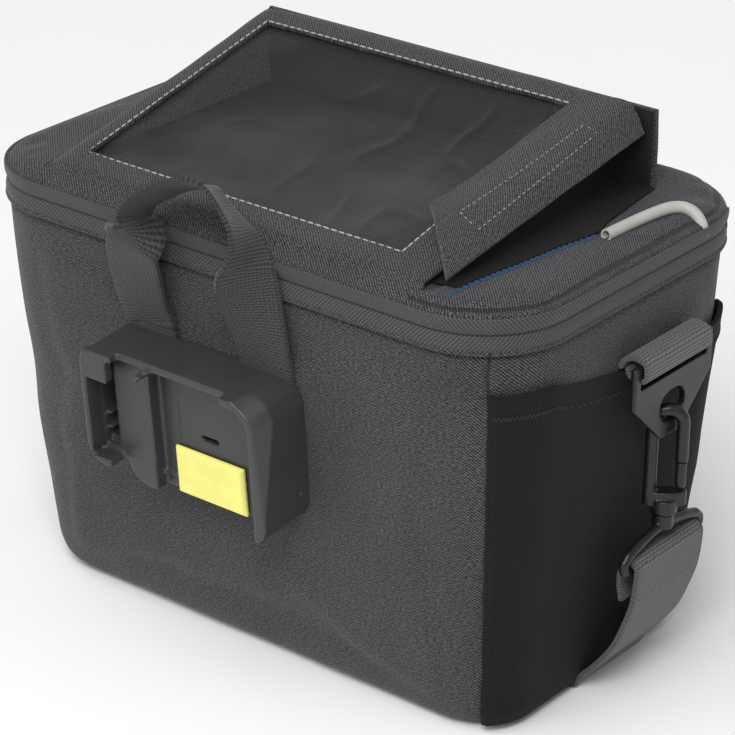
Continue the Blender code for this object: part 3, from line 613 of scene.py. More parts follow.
def rim_outward(turn):
    turn = turn % 40
    quarter = int(turn // 10)
    share = min((turn - 10 * quarter) / 6, 1.0)
    angle = math.pi / 2 * (quarter + share)
    return Vector((math.cos(angle), math.sin(angle), 0))


def body_point(turn, height, offset=0.0):
    _, width, depth, corner = table_at(BODY_SECTIONS, height / RIM_HEIGHT)
    radius = max(corner * CORNER_RADIUS + offset, 0.004)
    return rim_point(turn, width * RIM_WIDTH + 2 * offset, depth * RIM_DEPTH + 2 * offset, radius, height)


def half_depth(height):
    return table_at(BODY_SECTIONS, height / RIM_HEIGHT)[2] * RIM_DEPTH / 2


def half_width(height):
    return table_at(BODY_SECTIONS, height / RIM_HEIGHT)[1] * RIM_WIDTH / 2


def pocket_place(x, along, above):
    """A point of the pocket's slope: along it from its near edge, and above its underside."""
    return Vector(
        (
            x,
            POCKET_NEAR + along * math.cos(POCKET_TILT) - above * math.sin(POCKET_TILT),
            LID_TOP + LINING + 2 * GAP + along * math.sin(POCKET_TILT) + above * math.cos(POCKET_TILT),
        )
    )


# Padded forms
def rounded_form(size_at, low, high, cuts):
    """A cube, cut finely, whose levels are then put on rounded rectangles."""
    piece = added(bpy.ops.mesh.primitive_cube_add, size=2)
    in_edit(piece, (bpy.ops.mesh.subdivide, {"number_cuts": cuts}))
    for vertex in piece.data.vertices:
        x, y, level = vertex.co
        height = low + (high - low) * (level + 1) / 2
        width, depth, radius = size_at(height)
        reach = max(abs(x), abs(y), 1e-9)
        px, py = x / reach * width / 2, y / reach * depth / 2
        cx = math.copysign(width / 2 - radius, px)
        cy = math.copysign(depth / 2 - radius, py)
        if abs(px) > abs(cx) and abs(py) > abs(cy):
            arm = Vector((px - cx, py - cy, 0)).normalized() * radius
            px, py = cx + arm.x, cy + arm.y
        vertex.co = (px * reach, py * reach, height)
    return piece


def puffed(piece, voxel, pressure, cap):
    """Swells a piece by a cloth simulation, with no point moved further than the cap."""
    finish_with(piece, "REMESH", mode="VOXEL", voxel_size=voxel)
    before = [(v.co.copy(), v.normal.copy()) for v in piece.data.vertices]
    only(piece)
    cloth = piece.modifiers.new("cloth", "CLOTH")
    cloth.settings.use_pressure = True
    cloth.settings.uniform_pressure_force = pressure
    cloth.settings.effector_weights.gravity = 0
    cloth.settings.quality = 5
    cloth.point_cache.frame_start = 1
    cloth.point_cache.frame_end = 20
    for number in range(1, 21):
        bpy.context.scene.frame_set(number)
    bpy.ops.object.modifier_apply(modifier=cloth.name)
    bpy.context.scene.frame_set(1)
    for vertex, (start, out) in zip(piece.data.vertices, before):
        move = vertex.co - start
        # Pressure rounds the form, but its corners stay where they are sewn
        move -= out * min(move.dot(out) + 0.0002, 0.0)
        if move.length > cap:
            move *= cap / move.length
        vertex.co = start + move
    finish_with(piece, "SUBSURF", levels=1, render_levels=1)
    return piece


def make_body(fabric):
    shrink = 0.0009

    def size_at(height):
        _, width, depth, corner = table_at(BODY_SECTIONS, height / RIM_HEIGHT)
        return width * RIM_WIDTH - 2 * shrink, depth * RIM_DEPTH - 2 * shrink, corner * CORNER_RADIUS - shrink

    piece = rounded_form(size_at, 0.0008, RIM_HEIGHT + 0.0006, 30)
    piece = puffed(piece, voxel=0.0042, pressure=4.0, cap=0.0020)
    for vertex in piece.data.vertices:
        p = vertex.co
        outward = Vector((p.x / RIM_WIDTH, p.y / RIM_DEPTH, 0))
        if outward.length > 0.2:
            # The walls aren't quite even: shallow waves, strongest halfway up
            strength = math.sin(math.pi * min(max(p.z / RIM_HEIGHT, 0), 1)) ** 0.5
            p += outward.normalized() * noise.noise(p * 28) * 0.0011 * strength
        floor = 0.0027 if abs(p.y - FITTING_Y) < STRAP_WEBBING / 2 + 0.0012 and p.z < 0.02 else 0.0003
        if p.z < floor:
            p.z = floor
        vertex.co = p
    chart_by_side(piece)
    soften(piece)
    return keep(piece, "body_padded", fabric, "graphite_fabric", ["bag_body"])


def lid_size(height):
    if height < LID_BASE:
        return RIM_WIDTH - 0.0064, RIM_DEPTH - 0.0064, CORNER_RADIUS - 0.0032
    rise = min(max((height - LID_BASE) / LID_HEIGHT, 0.0), 1.0)
    inset = table_at(LID_SECTIONS, rise)[1] * CORNER_RADIUS
    return RIM_WIDTH - 2 * inset, RIM_DEPTH - 2 * inset, CORNER_RADIUS - inset


def make_lid(fabric):
    shrink = 0.0004

    def size_at(height):
        width, depth, radius = lid_size(height)
        return width - 2 * shrink, depth - 2 * shrink, radius - shrink

    piece = rounded_form(size_at, LID_BASE - 0.0042, LID_TOP - 0.0003, 40)
    piece = puffed(piece, voxel=0.0024, pressure=3.0, cap=0.0014)
    for vertex in piece.data.vertices:
        p = vertex.co
        p.z += noise.noise(Vector((p.x * 30, p.y * 30, 3.1))) * 0.0007 * eased(p.z, LID_BASE + 0.003, LID_TOP)
        under_pocket = -POCKET_LEFT - 0.004 < p.x < POCKET_RIGHT + 0.004 and POCKET_NEAR < p.y < 0.056
        if under_pocket:
            p.z = min(p.z, LID_TOP)
        groove = math.exp(-(((p.z - SEAM_HEIGHT) / 0.0007) ** 2)) * eased(p.x, 0.045, 0.085)
        slump = eased(-p.x, 0.096, 0.122) * eased(p.y, -0.045, 0.035) * eased(p.z, 0.1765, 0.1865)
        p.z -= 0.0048 * slump
        outward = Vector((p.x / RIM_WIDTH, p.y / RIM_DEPTH, 0)).normalized()
        p -= outward * groove * 0.0006
        vertex.co = p
    chart_by_side(piece)
    soften(piece)
    return keep(piece, "lid_padded", fabric, "graphite_fabric", ["lid"])


# Bands and welts round the rim
def make_rim_strip(name, first, last, profile, material, slot, nodes):
    """A strip round the rim: profile rows are a height and how far it stands out from the rim."""
    count = (last - first) * 9

    def place(i, j):
        turn = first + (last - first) * i / count
        height, out = profile[j]
        return rim_point(turn, RIM_WIDTH + 2 * out, RIM_DEPTH + 2 * out, CORNER_RADIUS + out, height)

    piece = thickened(grid(count, len(profile) - 1, place), 0.0010, angle=50)
    return keep(piece, name, material, slot, nodes)


def hinge_profile():
    """One plain roll from the rim to the lid."""
    low, high = RIM_HEIGHT - 0.0006, LID_BASE + 0.0014
    return [(low + (high - low) * k / 12, -0.0012 + 0.0014 * math.sin(math.pi * k / 12)) for k in range(13)]


def zip_profile():
    """Two slightly rounded tapes with the groove of the teeth between them."""
    rows = []
    for low, high, start, stop, bulge in ZIP_TAPES:
        for step in range(11):
            t = step / 10
            out = start + (stop - start) * t + bulge * math.sin(math.pi * t) ** 0.8
            rows.append((low + (high - low) * t, out))
    return rows


def tube(points, radius, sides, closed=False):
    """A round tube along points, made from a grid that is rolled up and joined."""
    count = len(points)
    frames = []
    side = None
    for i, point in enumerate(points):
        before = points[(i - 1) % count] if closed or i > 0 else points[0]
        after = points[(i + 1) % count] if closed or i < count - 1 else points[-1]
        along = (after - before).normalized()
        if side is None:
            side = along.orthogonal()
        side = (side - along * side.dot(along)).normalized()
        frames.append((side.copy(), along.cross(side)))

    def place(i, j):
        a, b = frames[i % count]
        angle = 2 * math.pi * (j % sides) / sides
        return points[i % count] + (a * math.cos(angle) + b * math.sin(angle)) * radius

    return recalculated(grid(count if closed else count - 1, sides, place, rolled=True))


def make_welt(name, height, out, radius, material):
    """A rolled edge of fabric round the whole rim."""
    size = (RIM_WIDTH + 2 * out, RIM_DEPTH + 2 * out, CORNER_RADIUS + out)
    points = [rim_point(i / 5, *size, height) for i in range(200)]
    piece = tube(points, radius, 8, closed=True)
    soften(piece, 80)
    keep(piece, name, material, "graphite_fabric")


# The map pocket
def pocket_lines(marks, step):
    """Grid lines through marks, with even steps of about so much between them."""
    lines = [marks[0]]
    for low, high in zip(marks, marks[1:]):
        parts = max(1, round((high - low) / step))
        lines += [low + (high - low) * k / parts for k in range(1, parts + 1)]
    return lines


def make_frame(fabric, lid_top):
    """The pocket's face round its window, which runs down to the lid's seam on the near side."""
    left, right, near, far = WINDOW
    xs = pocket_lines([-POCKET_LEFT, left, right, POCKET_RIGHT], 0.003)
    over_rim = smooth([Vector((0, y, z)) for y, z in NEAR_RIM], 4)
    ys = list(range(-len(over_rim), 0)) + pocket_lines([0.001, near, far, POCKET_LENGTH], 0.002)

    def place(i, j):
        x, along = xs[i], ys[j]
        edge = min(x + POCKET_LEFT, POCKET_RIGHT - x)
        clear = -0.0007 + 0.0018 * eased(edge, -0.001, 0.010)
        if along < 0:
            k = int(along) + len(over_rim)
            after = over_rim[min(k + 1, len(over_rim) - 1)]
            before = over_rim[max(k - 1, 0)]
            run = (after - before).normalized()
            out = Vector((0, -run.z, run.y))
            point = over_rim[k] + Vector((x, 0, 0))
            hit = lid_top.ray_cast(point + out * 0.02, -out)[0]
            low = hit if hit is not None else point
            return low + out * (clear - 0.0010 * (1 - eased(k, 0, 3)))
        point = pocket_place(x, along, CLOTH)
        point.z += 0.0010 * math.exp(-((along / 0.010) ** 2))
        point.z -= 0.0010 * (1 - eased(edge, 0.0, 0.004))
        point.z -= 0.0012 * (1 - eased(POCKET_LENGTH - along, 0.0, 0.004))
        wrinkle = noise.noise(Vector((x * 34, along * 40, 0.7)))
        point.z += 0.0006 * wrinkle * eased(along, 0.0, 0.02)
        hit = dropped_on(lid_top, point.x, point.y)
        if hit is not None and along < 0.02:
            low = hit.z + clear
            blend = max(0.0016 - abs(point.z - low), 0.0) ** 2 / 0.0064
            point.z = max(point.z, low) + blend
        return point

    piece = grid(len(xs) - 1, len(ys) - 1, place)
    only(piece)
    bpy.ops.object.mode_set(mode="EDIT")
    bpy.ops.mesh.select_all(action="DESELECT")
    bpy.ops.object.mode_set(mode="OBJECT")
    tilt = math.cos(POCKET_TILT)
    for face in piece.data.polygons:
        along = (face.center.y - POCKET_NEAR + CLOTH * math.sin(POCKET_TILT)) / tilt
        face.select = left < face.center.x < right and near < along < far
    bpy.ops.object.mode_set(mode="EDIT")
    bpy.ops.mesh.select_mode(type="FACE")
    bpy.ops.mesh.delete(type="FACE")
    bpy.ops.object.mode_set(mode="OBJECT")
    thickened(piece, CLOTH * 0.9, bevel=(0.0005, 2))
    keep(piece, "pocket_face", fabric, "graphite_fabric", ["pocket_frame"])


def film_level(x, along):
    """How far the soft film stands off its plane: sag in the middle and creases along the far side."""
    left, right, near, far = WINDOW
    inside = min(x - left, right - x, along - near, far - along)
    free = eased(inside, -0.002, 0.014)
    u = (x - left) / (right - left)
    v = (along - near) / (far - near)
    sag = -0.0022 * math.sin(math.pi * min(max(u, 0), 1)) * math.sin(math.pi * min(max(v, 0), 1))
    swell = 0.0018 * noise.noise(Vector((x * 18, along * 26, 1.3)))
    crease = 1 - abs(noise.noise(Vector((x * 40 + along * 14, along * 22 - x * 9, 5.2)))) * 5
    crease = max(crease, 0.0) ** 2 * 0.0011 * (0.4 + 0.6 * eased(u, 0.35, 0.9))
    return (sag + swell + crease) * free


def make_film(film):
    left, right, near, far = WINDOW
    lap = 0.003
    columns, rows = 96, 64

    def place(i, j):
        x = left - lap + (right - left + 2 * lap) * i / columns
        along = near - lap + (far - near + 2 * lap) * j / rows
        return pocket_place(x, along, -GAP + film_level(x, along))

    piece = thickened(grid(columns, rows, place), 0.0004)
    keep(piece, "pocket_film", film, "clear_film", ["pocket_window"])


def make_lining(lining, lid_top):
    low_x, high_x = -POCKET_LEFT + 0.002, 0.1085
    low_y, high_y = POCKET_NEAR + POCKET_NEAR_INSET, POCKET_NEAR + POCKET_RUN - 0.0022

    def place(i, j):
        y = low_y + (high_y - low_y) * j / 44
        x = low_x + (table_at(LINING_EDGE, y)[1] - low_x) * i / 60
        hit = dropped_on(lid_top, x, y)
        level = max(LID_TOP + GAP, hit.z + 0.0002 if hit is not None else 0.0)
        ease = eased(min(i, 60 - i), 0, 4) * eased(min(j, 44 - j), 0, 4)
        crumple = 0.0006 * ease * (0.5 + noise.noise(Vector((x * 40, y * 40, 9.0))))
        return Vector((x, y, level + LINING + crumple))

    piece = thickened(grid(60, 44, place), 0.0006)
    keep(piece, "pocket_lining", lining, "dark_lining", ["pocket_floor"])


def make_pocket_walls(fabric, lining):
    """The upright far wall, its lining, and the gusset that closes the left end, all slightly slack."""
    far = POCKET_NEAR + POCKET_RUN
    base = LID_TOP - 0.0003
    crest = pocket_place(0, POCKET_LENGTH, 0.0004).z
    low_x, high_x = -POCKET_LEFT, POCKET_RIGHT + FLAP_WIDTH / 3

    def on_wall(i, j):
        x = low_x + (high_x - low_x) * i / 60
        t = j / 12
        slack = math.sin(math.pi * t) * (0.0006 + 0.0008 * noise.noise(Vector((x * 24, t, 2.0))))
        return Vector((x, far - 0.0002 + slack, crest + (base - crest) * t))

    wall = thickened(grid(60, 12, on_wall), CLOTH)
    keep(wall, "pocket_wall", fabric, "graphite_fabric", ["pocket_far_wall"])

    def on_back(i, j):
        x = low_x + 0.002 + (high_x - low_x - 0.003) * i / 60
        t = j / 12
        slack = (0.0010 + 0.0008 * noise.noise(Vector((x * 30, t * 2, 12.0)))) * math.sin(math.pi * t)
        return Vector((x, far - CLOTH - 0.0008 - slack, base + 0.0008 + (crest - 0.0014 - base) * t))

    back = thickened(grid(60, 12, on_back), 0.0006, offset=1)
    keep(back, "pocket_back_lining", lining, "dark_lining")

    near = POCKET_NEAR + 0.0010
    end = far - 0.0003
    length = end - near

    def on_gusset(i, j):
        y = end + (near - end) * i / 40
        top = pocket_place(0, (y - POCKET_NEAR) / math.cos(POCKET_TILT), 0.0004).z
        t = j / 10
        slack = math.sin(math.pi * t) * 0.0016 * eased(y - near, 0.0, length)
        return Vector((-POCKET_LEFT + 0.0002 - slack, y, base + (top - base) * t))

    gusset = thickened(grid(40, 10, on_gusset), CLOTH * 0.8)
    keep(gusset, "pocket_end", fabric, "graphite_fabric", ["pocket_gusset"])


def flap_point(across, share, above):
    """A point over the flap, across it from the pocket's face and along it from its near end."""
    left = POCKET_RIGHT - WINDOW_RIGHT_MARGIN - CLOTH
    columns = [Vector(row[1:] + (row[0],)) for row in FLAP_SECTIONS]
    spot = min(max(across, 0.0), 1.0)
    for number, (low, high) in enumerate(zip(FLAP_SECTIONS, FLAP_SECTIONS[1:])):
        if spot <= high[0]:
            break
    t = (spot - low[0]) / (high[0] - low[0])
    row = curve_at(columns, number, t)
    lift, drop = row.x, row.y
    skew = FLAP_NEAR_SKEW * (1 - across) * (1 - share) ** 2
    along = 0.004 + skew + (POCKET_LENGTH - 0.010 - skew) * share
    rise = CLOTH + GAP + FLAP_LIFT * (lift * (1 - 0.7 * share) + (1 - across) * (1 - share) ** 2)
    fall = FLAP_DROP * drop * share
    return pocket_place(left + FLAP_WIDTH * across, along, rise + above) - Vector((0, 0, fall))


def make_flap(fabric):
    columns, rows = 24, 70

    def place(i, j):
        across, share = i / columns, j / rows
        ripple = 0.0006 * noise.noise(Vector((across * 2.2, share * 6, 8.0)))
        return flap_point(across, share, CLOTH + 0.0004 + ripple)

    piece = thickened(grid(columns, rows, place), CLOTH + 0.0006, bevel=(0.0007, 3))
    keep(piece, "flap_fabric", fabric, "graphite_fabric", ["pocket_flap"])


def make_piping(finish):
    """A pale soft tube, open at its near end, that goes over the far right corner."""
    level = LID_TOP + PIPING_RADIUS + GAP
    route = (
        (0.1119, 0.0011, level),
        (0.1129, 0.0216, level),
        (0.1148, 0.0355, level),
        (0.1176, 0.0410, level - 0.0002),
        (0.1208, 0.0430, level - 0.0012),
        (0.1236, 0.0436, level - 0.0032),
        (0.1258, 0.0436, level - 0.0062),
        (0.1268, 0.0434, level - 0.0098),
    )
    points = smooth([Vector(p) for p in route], 8)
    piece = thickened(tube(points, PIPING_RADIUS * 0.96, 20), 0.0007)
    keep(piece, "piping_soft", finish, "light_piping", ["piping_tube"])


# Stretch pockets on the ends
def hem_height(along):
    return table_at(HEM_SECTIONS, along)[1] * RIM_HEIGHT


def outside_of(surface_of, point, outward, clear):
    """The point, moved out where the padded body stands proud of it."""
    hit = surface_of.ray_cast(point + outward * 0.03, -outward)[0]
    if hit is None:
        return point
    proud = (hit - point).dot(outward) + clear
    return point + outward * max(proud, 0.0)


def side_pocket_point(surface_of, turned, first, last, along, share, extra=0.0):
    turn = first + (last - first) * (1 - along if turned else along)
    _, top, flare = table_at(HEM_SECTIONS, along)
    foot = 0.0035
    height = foot + (top * RIM_HEIGHT - foot) * share
    away = GAP + POCKET_SKIN + POCKET_FLARE * flare * share**4
    outward = rim_outward(turn)
    point = body_point(turn, height, away)
    spot = Vector((along * 5, share * 4, 6.0 if turned else 2.0))
    sway = 0.0008 * noise.noise(spot) * math.sin(math.pi * share)
    point = outside_of(surface_of, point, outward, 0.0007)
    # The ends are sewn in, so they lie close to the wall
    sewn = 0.0012 * (1 - eased(min(along, 1 - along), 0.0, 0.035))
    return point + outward * (extra + max(sway, -0.0001) - sewn)


def make_side_pocket(name, node, first, last, turned, stretch, surface_of):
    columns, rows = 90, 60

    def place(i, j):
        along = 1 - i / columns if turned else i / columns
        share = j / rows
        down = (1 - share) * hem_height(along)
        # The hem is doubled, so it stands out, with a shallow crease under it
        hem = 0.0005 * (1 - eased(down, 0.0105, 0.0125))
        return side_pocket_point(surface_of, turned, first, last, along, share, hem)

    piece = thickened(grid(columns, rows, place), 0.0017)
    keep(piece, name, stretch, "black_stretch", [node])


# Webbing
def webbing(rows, width, thickness, cup=0.0, gather=None):
    """A strap through rows of a middle point and the direction of its width."""
    frames = []
    for i, (point, across) in enumerate(rows):
        along = (rows[min(i + 1, len(rows) - 1)][0] - rows[max(i - 1, 0)][0]).normalized()
        across = (across - along * across.dot(along)).normalized()
        frames.append((point, across, along.cross(across)))

    def place(i, j):
        point, across, out = frames[i]
        t = j / 8 - 0.5
        share = gather[i] if gather else 1.0
        curl = cup + (1 - share) * width * 0.30
        return point + across * (width * share * t) + out * (curl * 4 * t * t)

    strip = grid(len(rows) - 1, 8, place)
    return thickened(strip, thickness, offset=0, bevel=(thickness * 0.30, 2), angle=50)


def handle_rows(steps=8):
    middles, widths = [], []
    for across, up, out, *width in HANDLE_SECTIONS:
        height = HANDLE_FOOT + up * HANDLE_RISE
        face = -half_depth(min(height, RIM_HEIGHT)) - GAP - HANDLE_THICKNESS / 2
        middles.append(Vector((HANDLE_CENTRE + across * HANDLE_SPAN, face - out * HANDLE_REACH, height)))
        widths.append(Vector(width))
    return list(zip(smooth(middles, steps), smooth(widths, steps)))


def make_handle(finish):
    rows = handle_rows()
    # Both feet go on behind the holder's cradle, where they are sewn
    first, last = rows[0], rows[-1]
    lower = 0.018
    slope = half_depth(HANDLE_FOOT - lower) - half_depth(HANDLE_FOOT)
    head = (first[0] - Vector((0, slope, lower)), first[1])
    tail = (last[0] - Vector((0, slope, lower)), last[1])
    gather = smooth([Vector((share, 0, 0)) for share in HANDLE_GATHER], 8)
    gather = [1.0] + [share.x for share in gather] + [1.0]
    piece = webbing([head] + rows + [tail], HANDLE_WEBBING, HANDLE_THICKNESS * 0.85, 0.0003, gather)
    keep(piece, "handle_webbing", finish, "grey_webbing", ["carry_handle"])


def sided(points, side):
    return [Vector((side * p.x, p.y, p.z)) for p in points]


def make_loop(name, node, side, finish):
    wall = half_width(TAB_TOP) + GAP + STRAP_THICKNESS / 2
    bar = TAB_MIDDLE
    reach = bar - wall
    foot = TAB_TOP - TAB_BAR
    under = foot - GAP - STRAP_THICKNESS / 2
    crest = TAB_TOP + 0.0022
    route = (
        (wall, foot + 0.0012),
        (wall, TAB_TOP - 0.0022),
        (wall + 0.22 * reach, crest - 0.0014),
        (wall + 0.60 * reach, crest),
        (bar + 0.0002, crest - 0.0004),
        (bar + 0.0022, crest - 0.0016),
        (bar + 0.0029, TAB_TOP - 0.0022),
        (bar + 0.0027, foot - 0.0002),
        (bar + 0.0006, under - 0.0003),
        (wall + 0.52 * reach, under + 0.0004),
        (wall + 1.7 * STRAP_THICKNESS, foot + 0.0024),
    )
    points = sided(smooth([Vector((x, FITTING_Y, z)) for x, z in route], 6), side)
    piece = webbing([(p, Vector((0, 1, 0))) for p in points], STRAP_WEBBING - 0.0015, STRAP_THICKNESS)
    keep(piece, name, finish, "grey_webbing", [node])


def strap_points():
    turn = RING_WIRE + 2 * GAP + STRAP_THICKNESS / 2
    low = GAP + STRAP_THICKNESS / 2
    edge = half_width(0) - 0.002
    bar = TAB_MIDDLE
    right = [
        (bar - turn + 0.0008, RING_BAR - STRAP_FOLD),
        (bar - turn - 0.0004, RING_BAR - 0.5 * STRAP_FOLD),
        (bar - turn, RING_BAR),
        (bar - turn * 0.7, RING_BAR + turn * 0.7),
        (bar, RING_BAR + turn),
        (bar + turn * 0.7, RING_BAR + turn * 0.7),
        (bar + turn, RING_BAR),
    ]
    right += [(edge + reach * (bar - edge), up * RING_BAR) for up, reach in STRAP_DROP]
    right.append((edge, low))
    return smooth([Vector((x, FITTING_Y, z)) for x, z in right], 6)


def make_strap(finish):
    half = strap_points()
    points = half + sided(reversed(half), -1)
    piece = webbing([(p, Vector((0, 1, 0))) for p in points], STRAP_WEBBING, STRAP_THICKNESS)
    keep(piece, "strap_webbing", finish, "grey_webbing", ["shoulder_strap"])


# Moulded parts
def moulded(name, node, material, slot, voxel, rounds, body="bag"):
    """A copy of a hard solid with its edges and facets rounded, as they leave the mould."""
    source = bpy.data.objects[node]
    piece = source.copy()
    piece.data = source.data.copy()
    bpy.context.scene.collection.objects.link(piece)
    place = source.matrix_world.copy()
    piece.parent = None
    piece.animation_data_clear()
    piece.matrix_world = place
    only(piece)
    bpy.ops.object.transform_apply(location=True, rotation=True, scale=True)
    for vertex in piece.data.vertices:
        vertex.co.y -= MIDDLE_SHIFT
    in_edit(piece, (bpy.ops.mesh.remove_doubles, {"threshold": 1e-6}))
    finish_with(piece, "REMESH", mode="VOXEL", voxel_size=voxel)
    finish_with(piece, "SMOOTH", factor=0.5, iterations=rounds)
    soften(piece)
    keep(piece, name, material, slot, [node], body)


# Stitching
def bead():
    """The points and faces of one stitch: a small bead, which is drawn out along its thread."""
    piece = added(bpy.ops.mesh.primitive_ico_sphere_add, subdivisions=1, radius=1)
    points = [v.co.copy() for v in piece.data.vertices]
    faces = [list(p.vertices) for p in piece.data.polygons]
    bpy.data.objects.remove(piece)
    return points, faces


def walk(points, step):
    """Points at even steps along a path."""
    made = [points[0]]
    left = step
    for a, b in zip(points, points[1:]):
        length = (b - a).length
        done = 0.0
        while length - done >= left:
            done += left
            made.append(a.lerp(b, done / length))
            left = step
        left -= length - done
    return made


def make_stitches(name, ends, radius, material, slot):
    """Threads between pairs of points, each a flat bead."""
    points, faces = bead()
    vertices, polygons = [], []
    for start, end, up in ends:
        along = (end - start).normalized()
        up = (up - along * up.dot(along)).normalized()
        side = up.cross(along)
        length = (end - start).length / 2
        middle = (start + end) / 2
        base = len(vertices)
        for p in points:
            vertices.append(middle + along * p.x * length + side * p.y * radius + up * p.z * radius)
        polygons += [[base + k for k in face] for face in faces]
    mesh = bpy.data.meshes.new(name)
    mesh.from_pydata(vertices, [], polygons)
    piece = bpy.data.objects.new(name, mesh)
    bpy.context.scene.collection.objects.link(piece)
    mesh.uv_layers.new(name="UVMap")
    soften(piece, 80)
    keep(piece, name, material, slot)


def run_of(points, up, length, gap):
    """Stitches along a path: both ends of each, and the direction that it faces."""
    spots = walk(points, length + gap)
    return [(a, a.lerp(b, length / (length + gap)), up) for a, b in zip(spots, spots[1:])]


def make_window_stitches(material):
    left, right, near, far = WINDOW
    tilt_up = Vector((0, -math.sin(POCKET_TILT), math.cos(POCKET_TILT)))
    margin = 0.0007
    corners = [
        (left - margin, near - margin),
        (right + margin, near - margin),
        (right + margin, far + margin),
        (left - margin, far + margin),
        (left - margin, near - margin),
    ]
    ends = []
    for (x0, a0), (x1, a1) in zip(corners, corners[1:]):
        shares = [k / 40 for k in range(41)]
        points = [pocket_place(x0 + (x1 - x0) * t, a0 + (a1 - a0) * t, CLOTH + 0.0002) for t in shares]
        ends += run_of(points, tilt_up, length=0.0034, gap=0.0002)
    make_stitches("window_stitches", ends, 0.00040, material, "graphite_fabric")


def make_flap_stitches(material):
    """The sewn rectangle along the flap, which holds its stiffener."""
    corners = [(0.44, 0.16), (0.80, 0.185), (0.79, 0.81), (0.56, 0.82), (0.44, 0.16)]
    ends = []
    for (a0, s0), (a1, s1) in zip(corners, corners[1:]):
        shares = [k / 30 for k in range(31)]
        points = [flap_point(a0 + (a1 - a0) * t, s0 + (s1 - s0) * t, CLOTH + 0.0006) for t in shares]
        ends += run_of(points, Vector((0, 0, 1)), length=0.0021, gap=0.0009)
    make_stitches("flap_stitches", ends, 0.00026, material, "graphite_fabric")


def make_lid_stitches(material, lid_top):
    """The coloured double row on the lid, from the near side to the piping."""
    row = ((0.0975, -0.076), (0.1010, -0.049), (0.1045, -0.0165), (0.1085, 0.0035))
    ends = []
    for shift in (-0.0006, 0.0006):
        route = [Vector((x + shift, y, 0)) for x, y in row]
        points = []
        for p in smooth(route, 24):
            points.append(dropped_on(lid_top, p.x, p.y) + Vector((0, 0, 0.0002)))
        ends += run_of(points, Vector((0, 0, 1)), length=0.0028, gap=0.0001)
    make_stitches("lid_stitches", ends, 0.00052, material, "light_piping")


def make_hem_stitches(name, first, last, turned, material, surface_of):
    """A zigzag of dark thread along the pocket's hem."""
    ends = []
    count = 118
    for k in range(count):
        corners = []
        for step in (k, k + 1):
            along = 0.01 + 0.98 * step / count
            down = 0.0078 if step % 2 else 0.0098
            share = 1 - down / hem_height(along)
            corners.append(side_pocket_point(surface_of, turned, first, last, along, share, 0.0007))
        turn = first + (last - first) * (1 - (k / count) if turned else k / count)
        ends.append((corners[0], corners[1], rim_outward(turn)))
    make_stitches(name, ends, 0.00020, material, "black_stretch")


def make_strap_stitches(material):
    """The cross rows that hold the strap's folded ends."""
    ends = []
    points = strap_points()
    turn_down = max(range(len(points)), key=lambda k: points[k].z)
    for side in (1, -1):
        for drop in (0.0105, 0.0120):
            spot = min(range(turn_down, len(points)), key=lambda k: abs(points[k].z - (RING_BAR - drop)))
            p = points[spot]
            face = side * (p.x + STRAP_THICKNESS / 2 + 0.0001)
            row = [Vector((face, FITTING_Y - 0.020 + 0.0400 * k / 20, p.z)) for k in range(21)]
            ends += run_of(row, Vector((side, 0, 0)), length=0.0021, gap=0.0007)
    make_stitches("strap_stitches", ends, 0.00024, material, "grey_webbing")


def make_floor(finish):
    piece = added(bpy.ops.mesh.primitive_plane_add, size=6)
    piece.name = "floor"
    piece.data.materials.append(finish)


def make_light():
    world = bpy.data.worlds.new("studio")
    bpy.context.scene.world = world
    world.use_nodes = True
    sky = world.node_tree.nodes["Background"]
    sky.inputs["Color"].default_value = (1.0, 1.0, 1.0, 1.0)
    sky.inputs["Strength"].default_value = 0.52
    sun = added(bpy.ops.object.light_add, type="SUN", location=(0, 0, 2))
    sun.name = "key"
    sun.data.energy = 1.55
    sun.data.angle = math.radians(65)
    sun.rotation_euler = Vector((-0.20, -0.85, 1.3)).to_track_quat("Z", "Y").to_euler()
    place = Vector((0.42, -0.62, 0.78))
    soft = added(bpy.ops.object.light_add, type="AREA", location=place)
    soft.name = "front"
    soft.data.shape = "DISK"
    soft.data.size = 0.35
    soft.data.energy = 3.9
    soft.rotation_euler = (Vector((0.05, -0.05, 0.1)) - place).to_track_quat("-Z", "Y").to_euler()
    bpy.context.scene.view_settings.view_transform = "Standard"


def make_camera():
    """A camera that sees the bag as the photograph does."""
    azimuth, elevation = math.radians(38.4555), math.radians(25.1475)
    roll = math.radians(0.51)
    level = math.cos(elevation)
    back = Vector((math.sin(azimuth) * level, -math.cos(azimuth) * level, math.sin(elevation)))
    right = Vector((math.cos(azimuth), math.sin(azimuth), 0))
    up = back.cross(right)
    turned_right = right * math.cos(roll) + up * math.sin(roll)
    turned_up = up * math.cos(roll) - right * math.sin(roll)
    target = Vector((0, MIDDLE_SHIFT, 0.1)) - right * 0.0024
    eye = target + back * 1.1901
    data = bpy.data.cameras.new("camera")
    data.sensor_width = 36
    data.lens = 148.65
    data.shift_x = (PHOTO_SIDE / 2 - PHOTO_AXIS[0]) / PHOTO_SIDE
    data.shift_y = (PHOTO_AXIS[1] - PHOTO_SIDE / 2) / PHOTO_SIDE
    camera = bpy.data.objects.new("camera", data)
    bpy.context.scene.collection.objects.link(camera)
    turn = Matrix((turned_right, turned_up, back)).transposed().to_4x4()
    camera.matrix_world = Matrix.Translation(eye) @ turn
    bpy.context.scene.camera = camera


make_camera()
make_light()

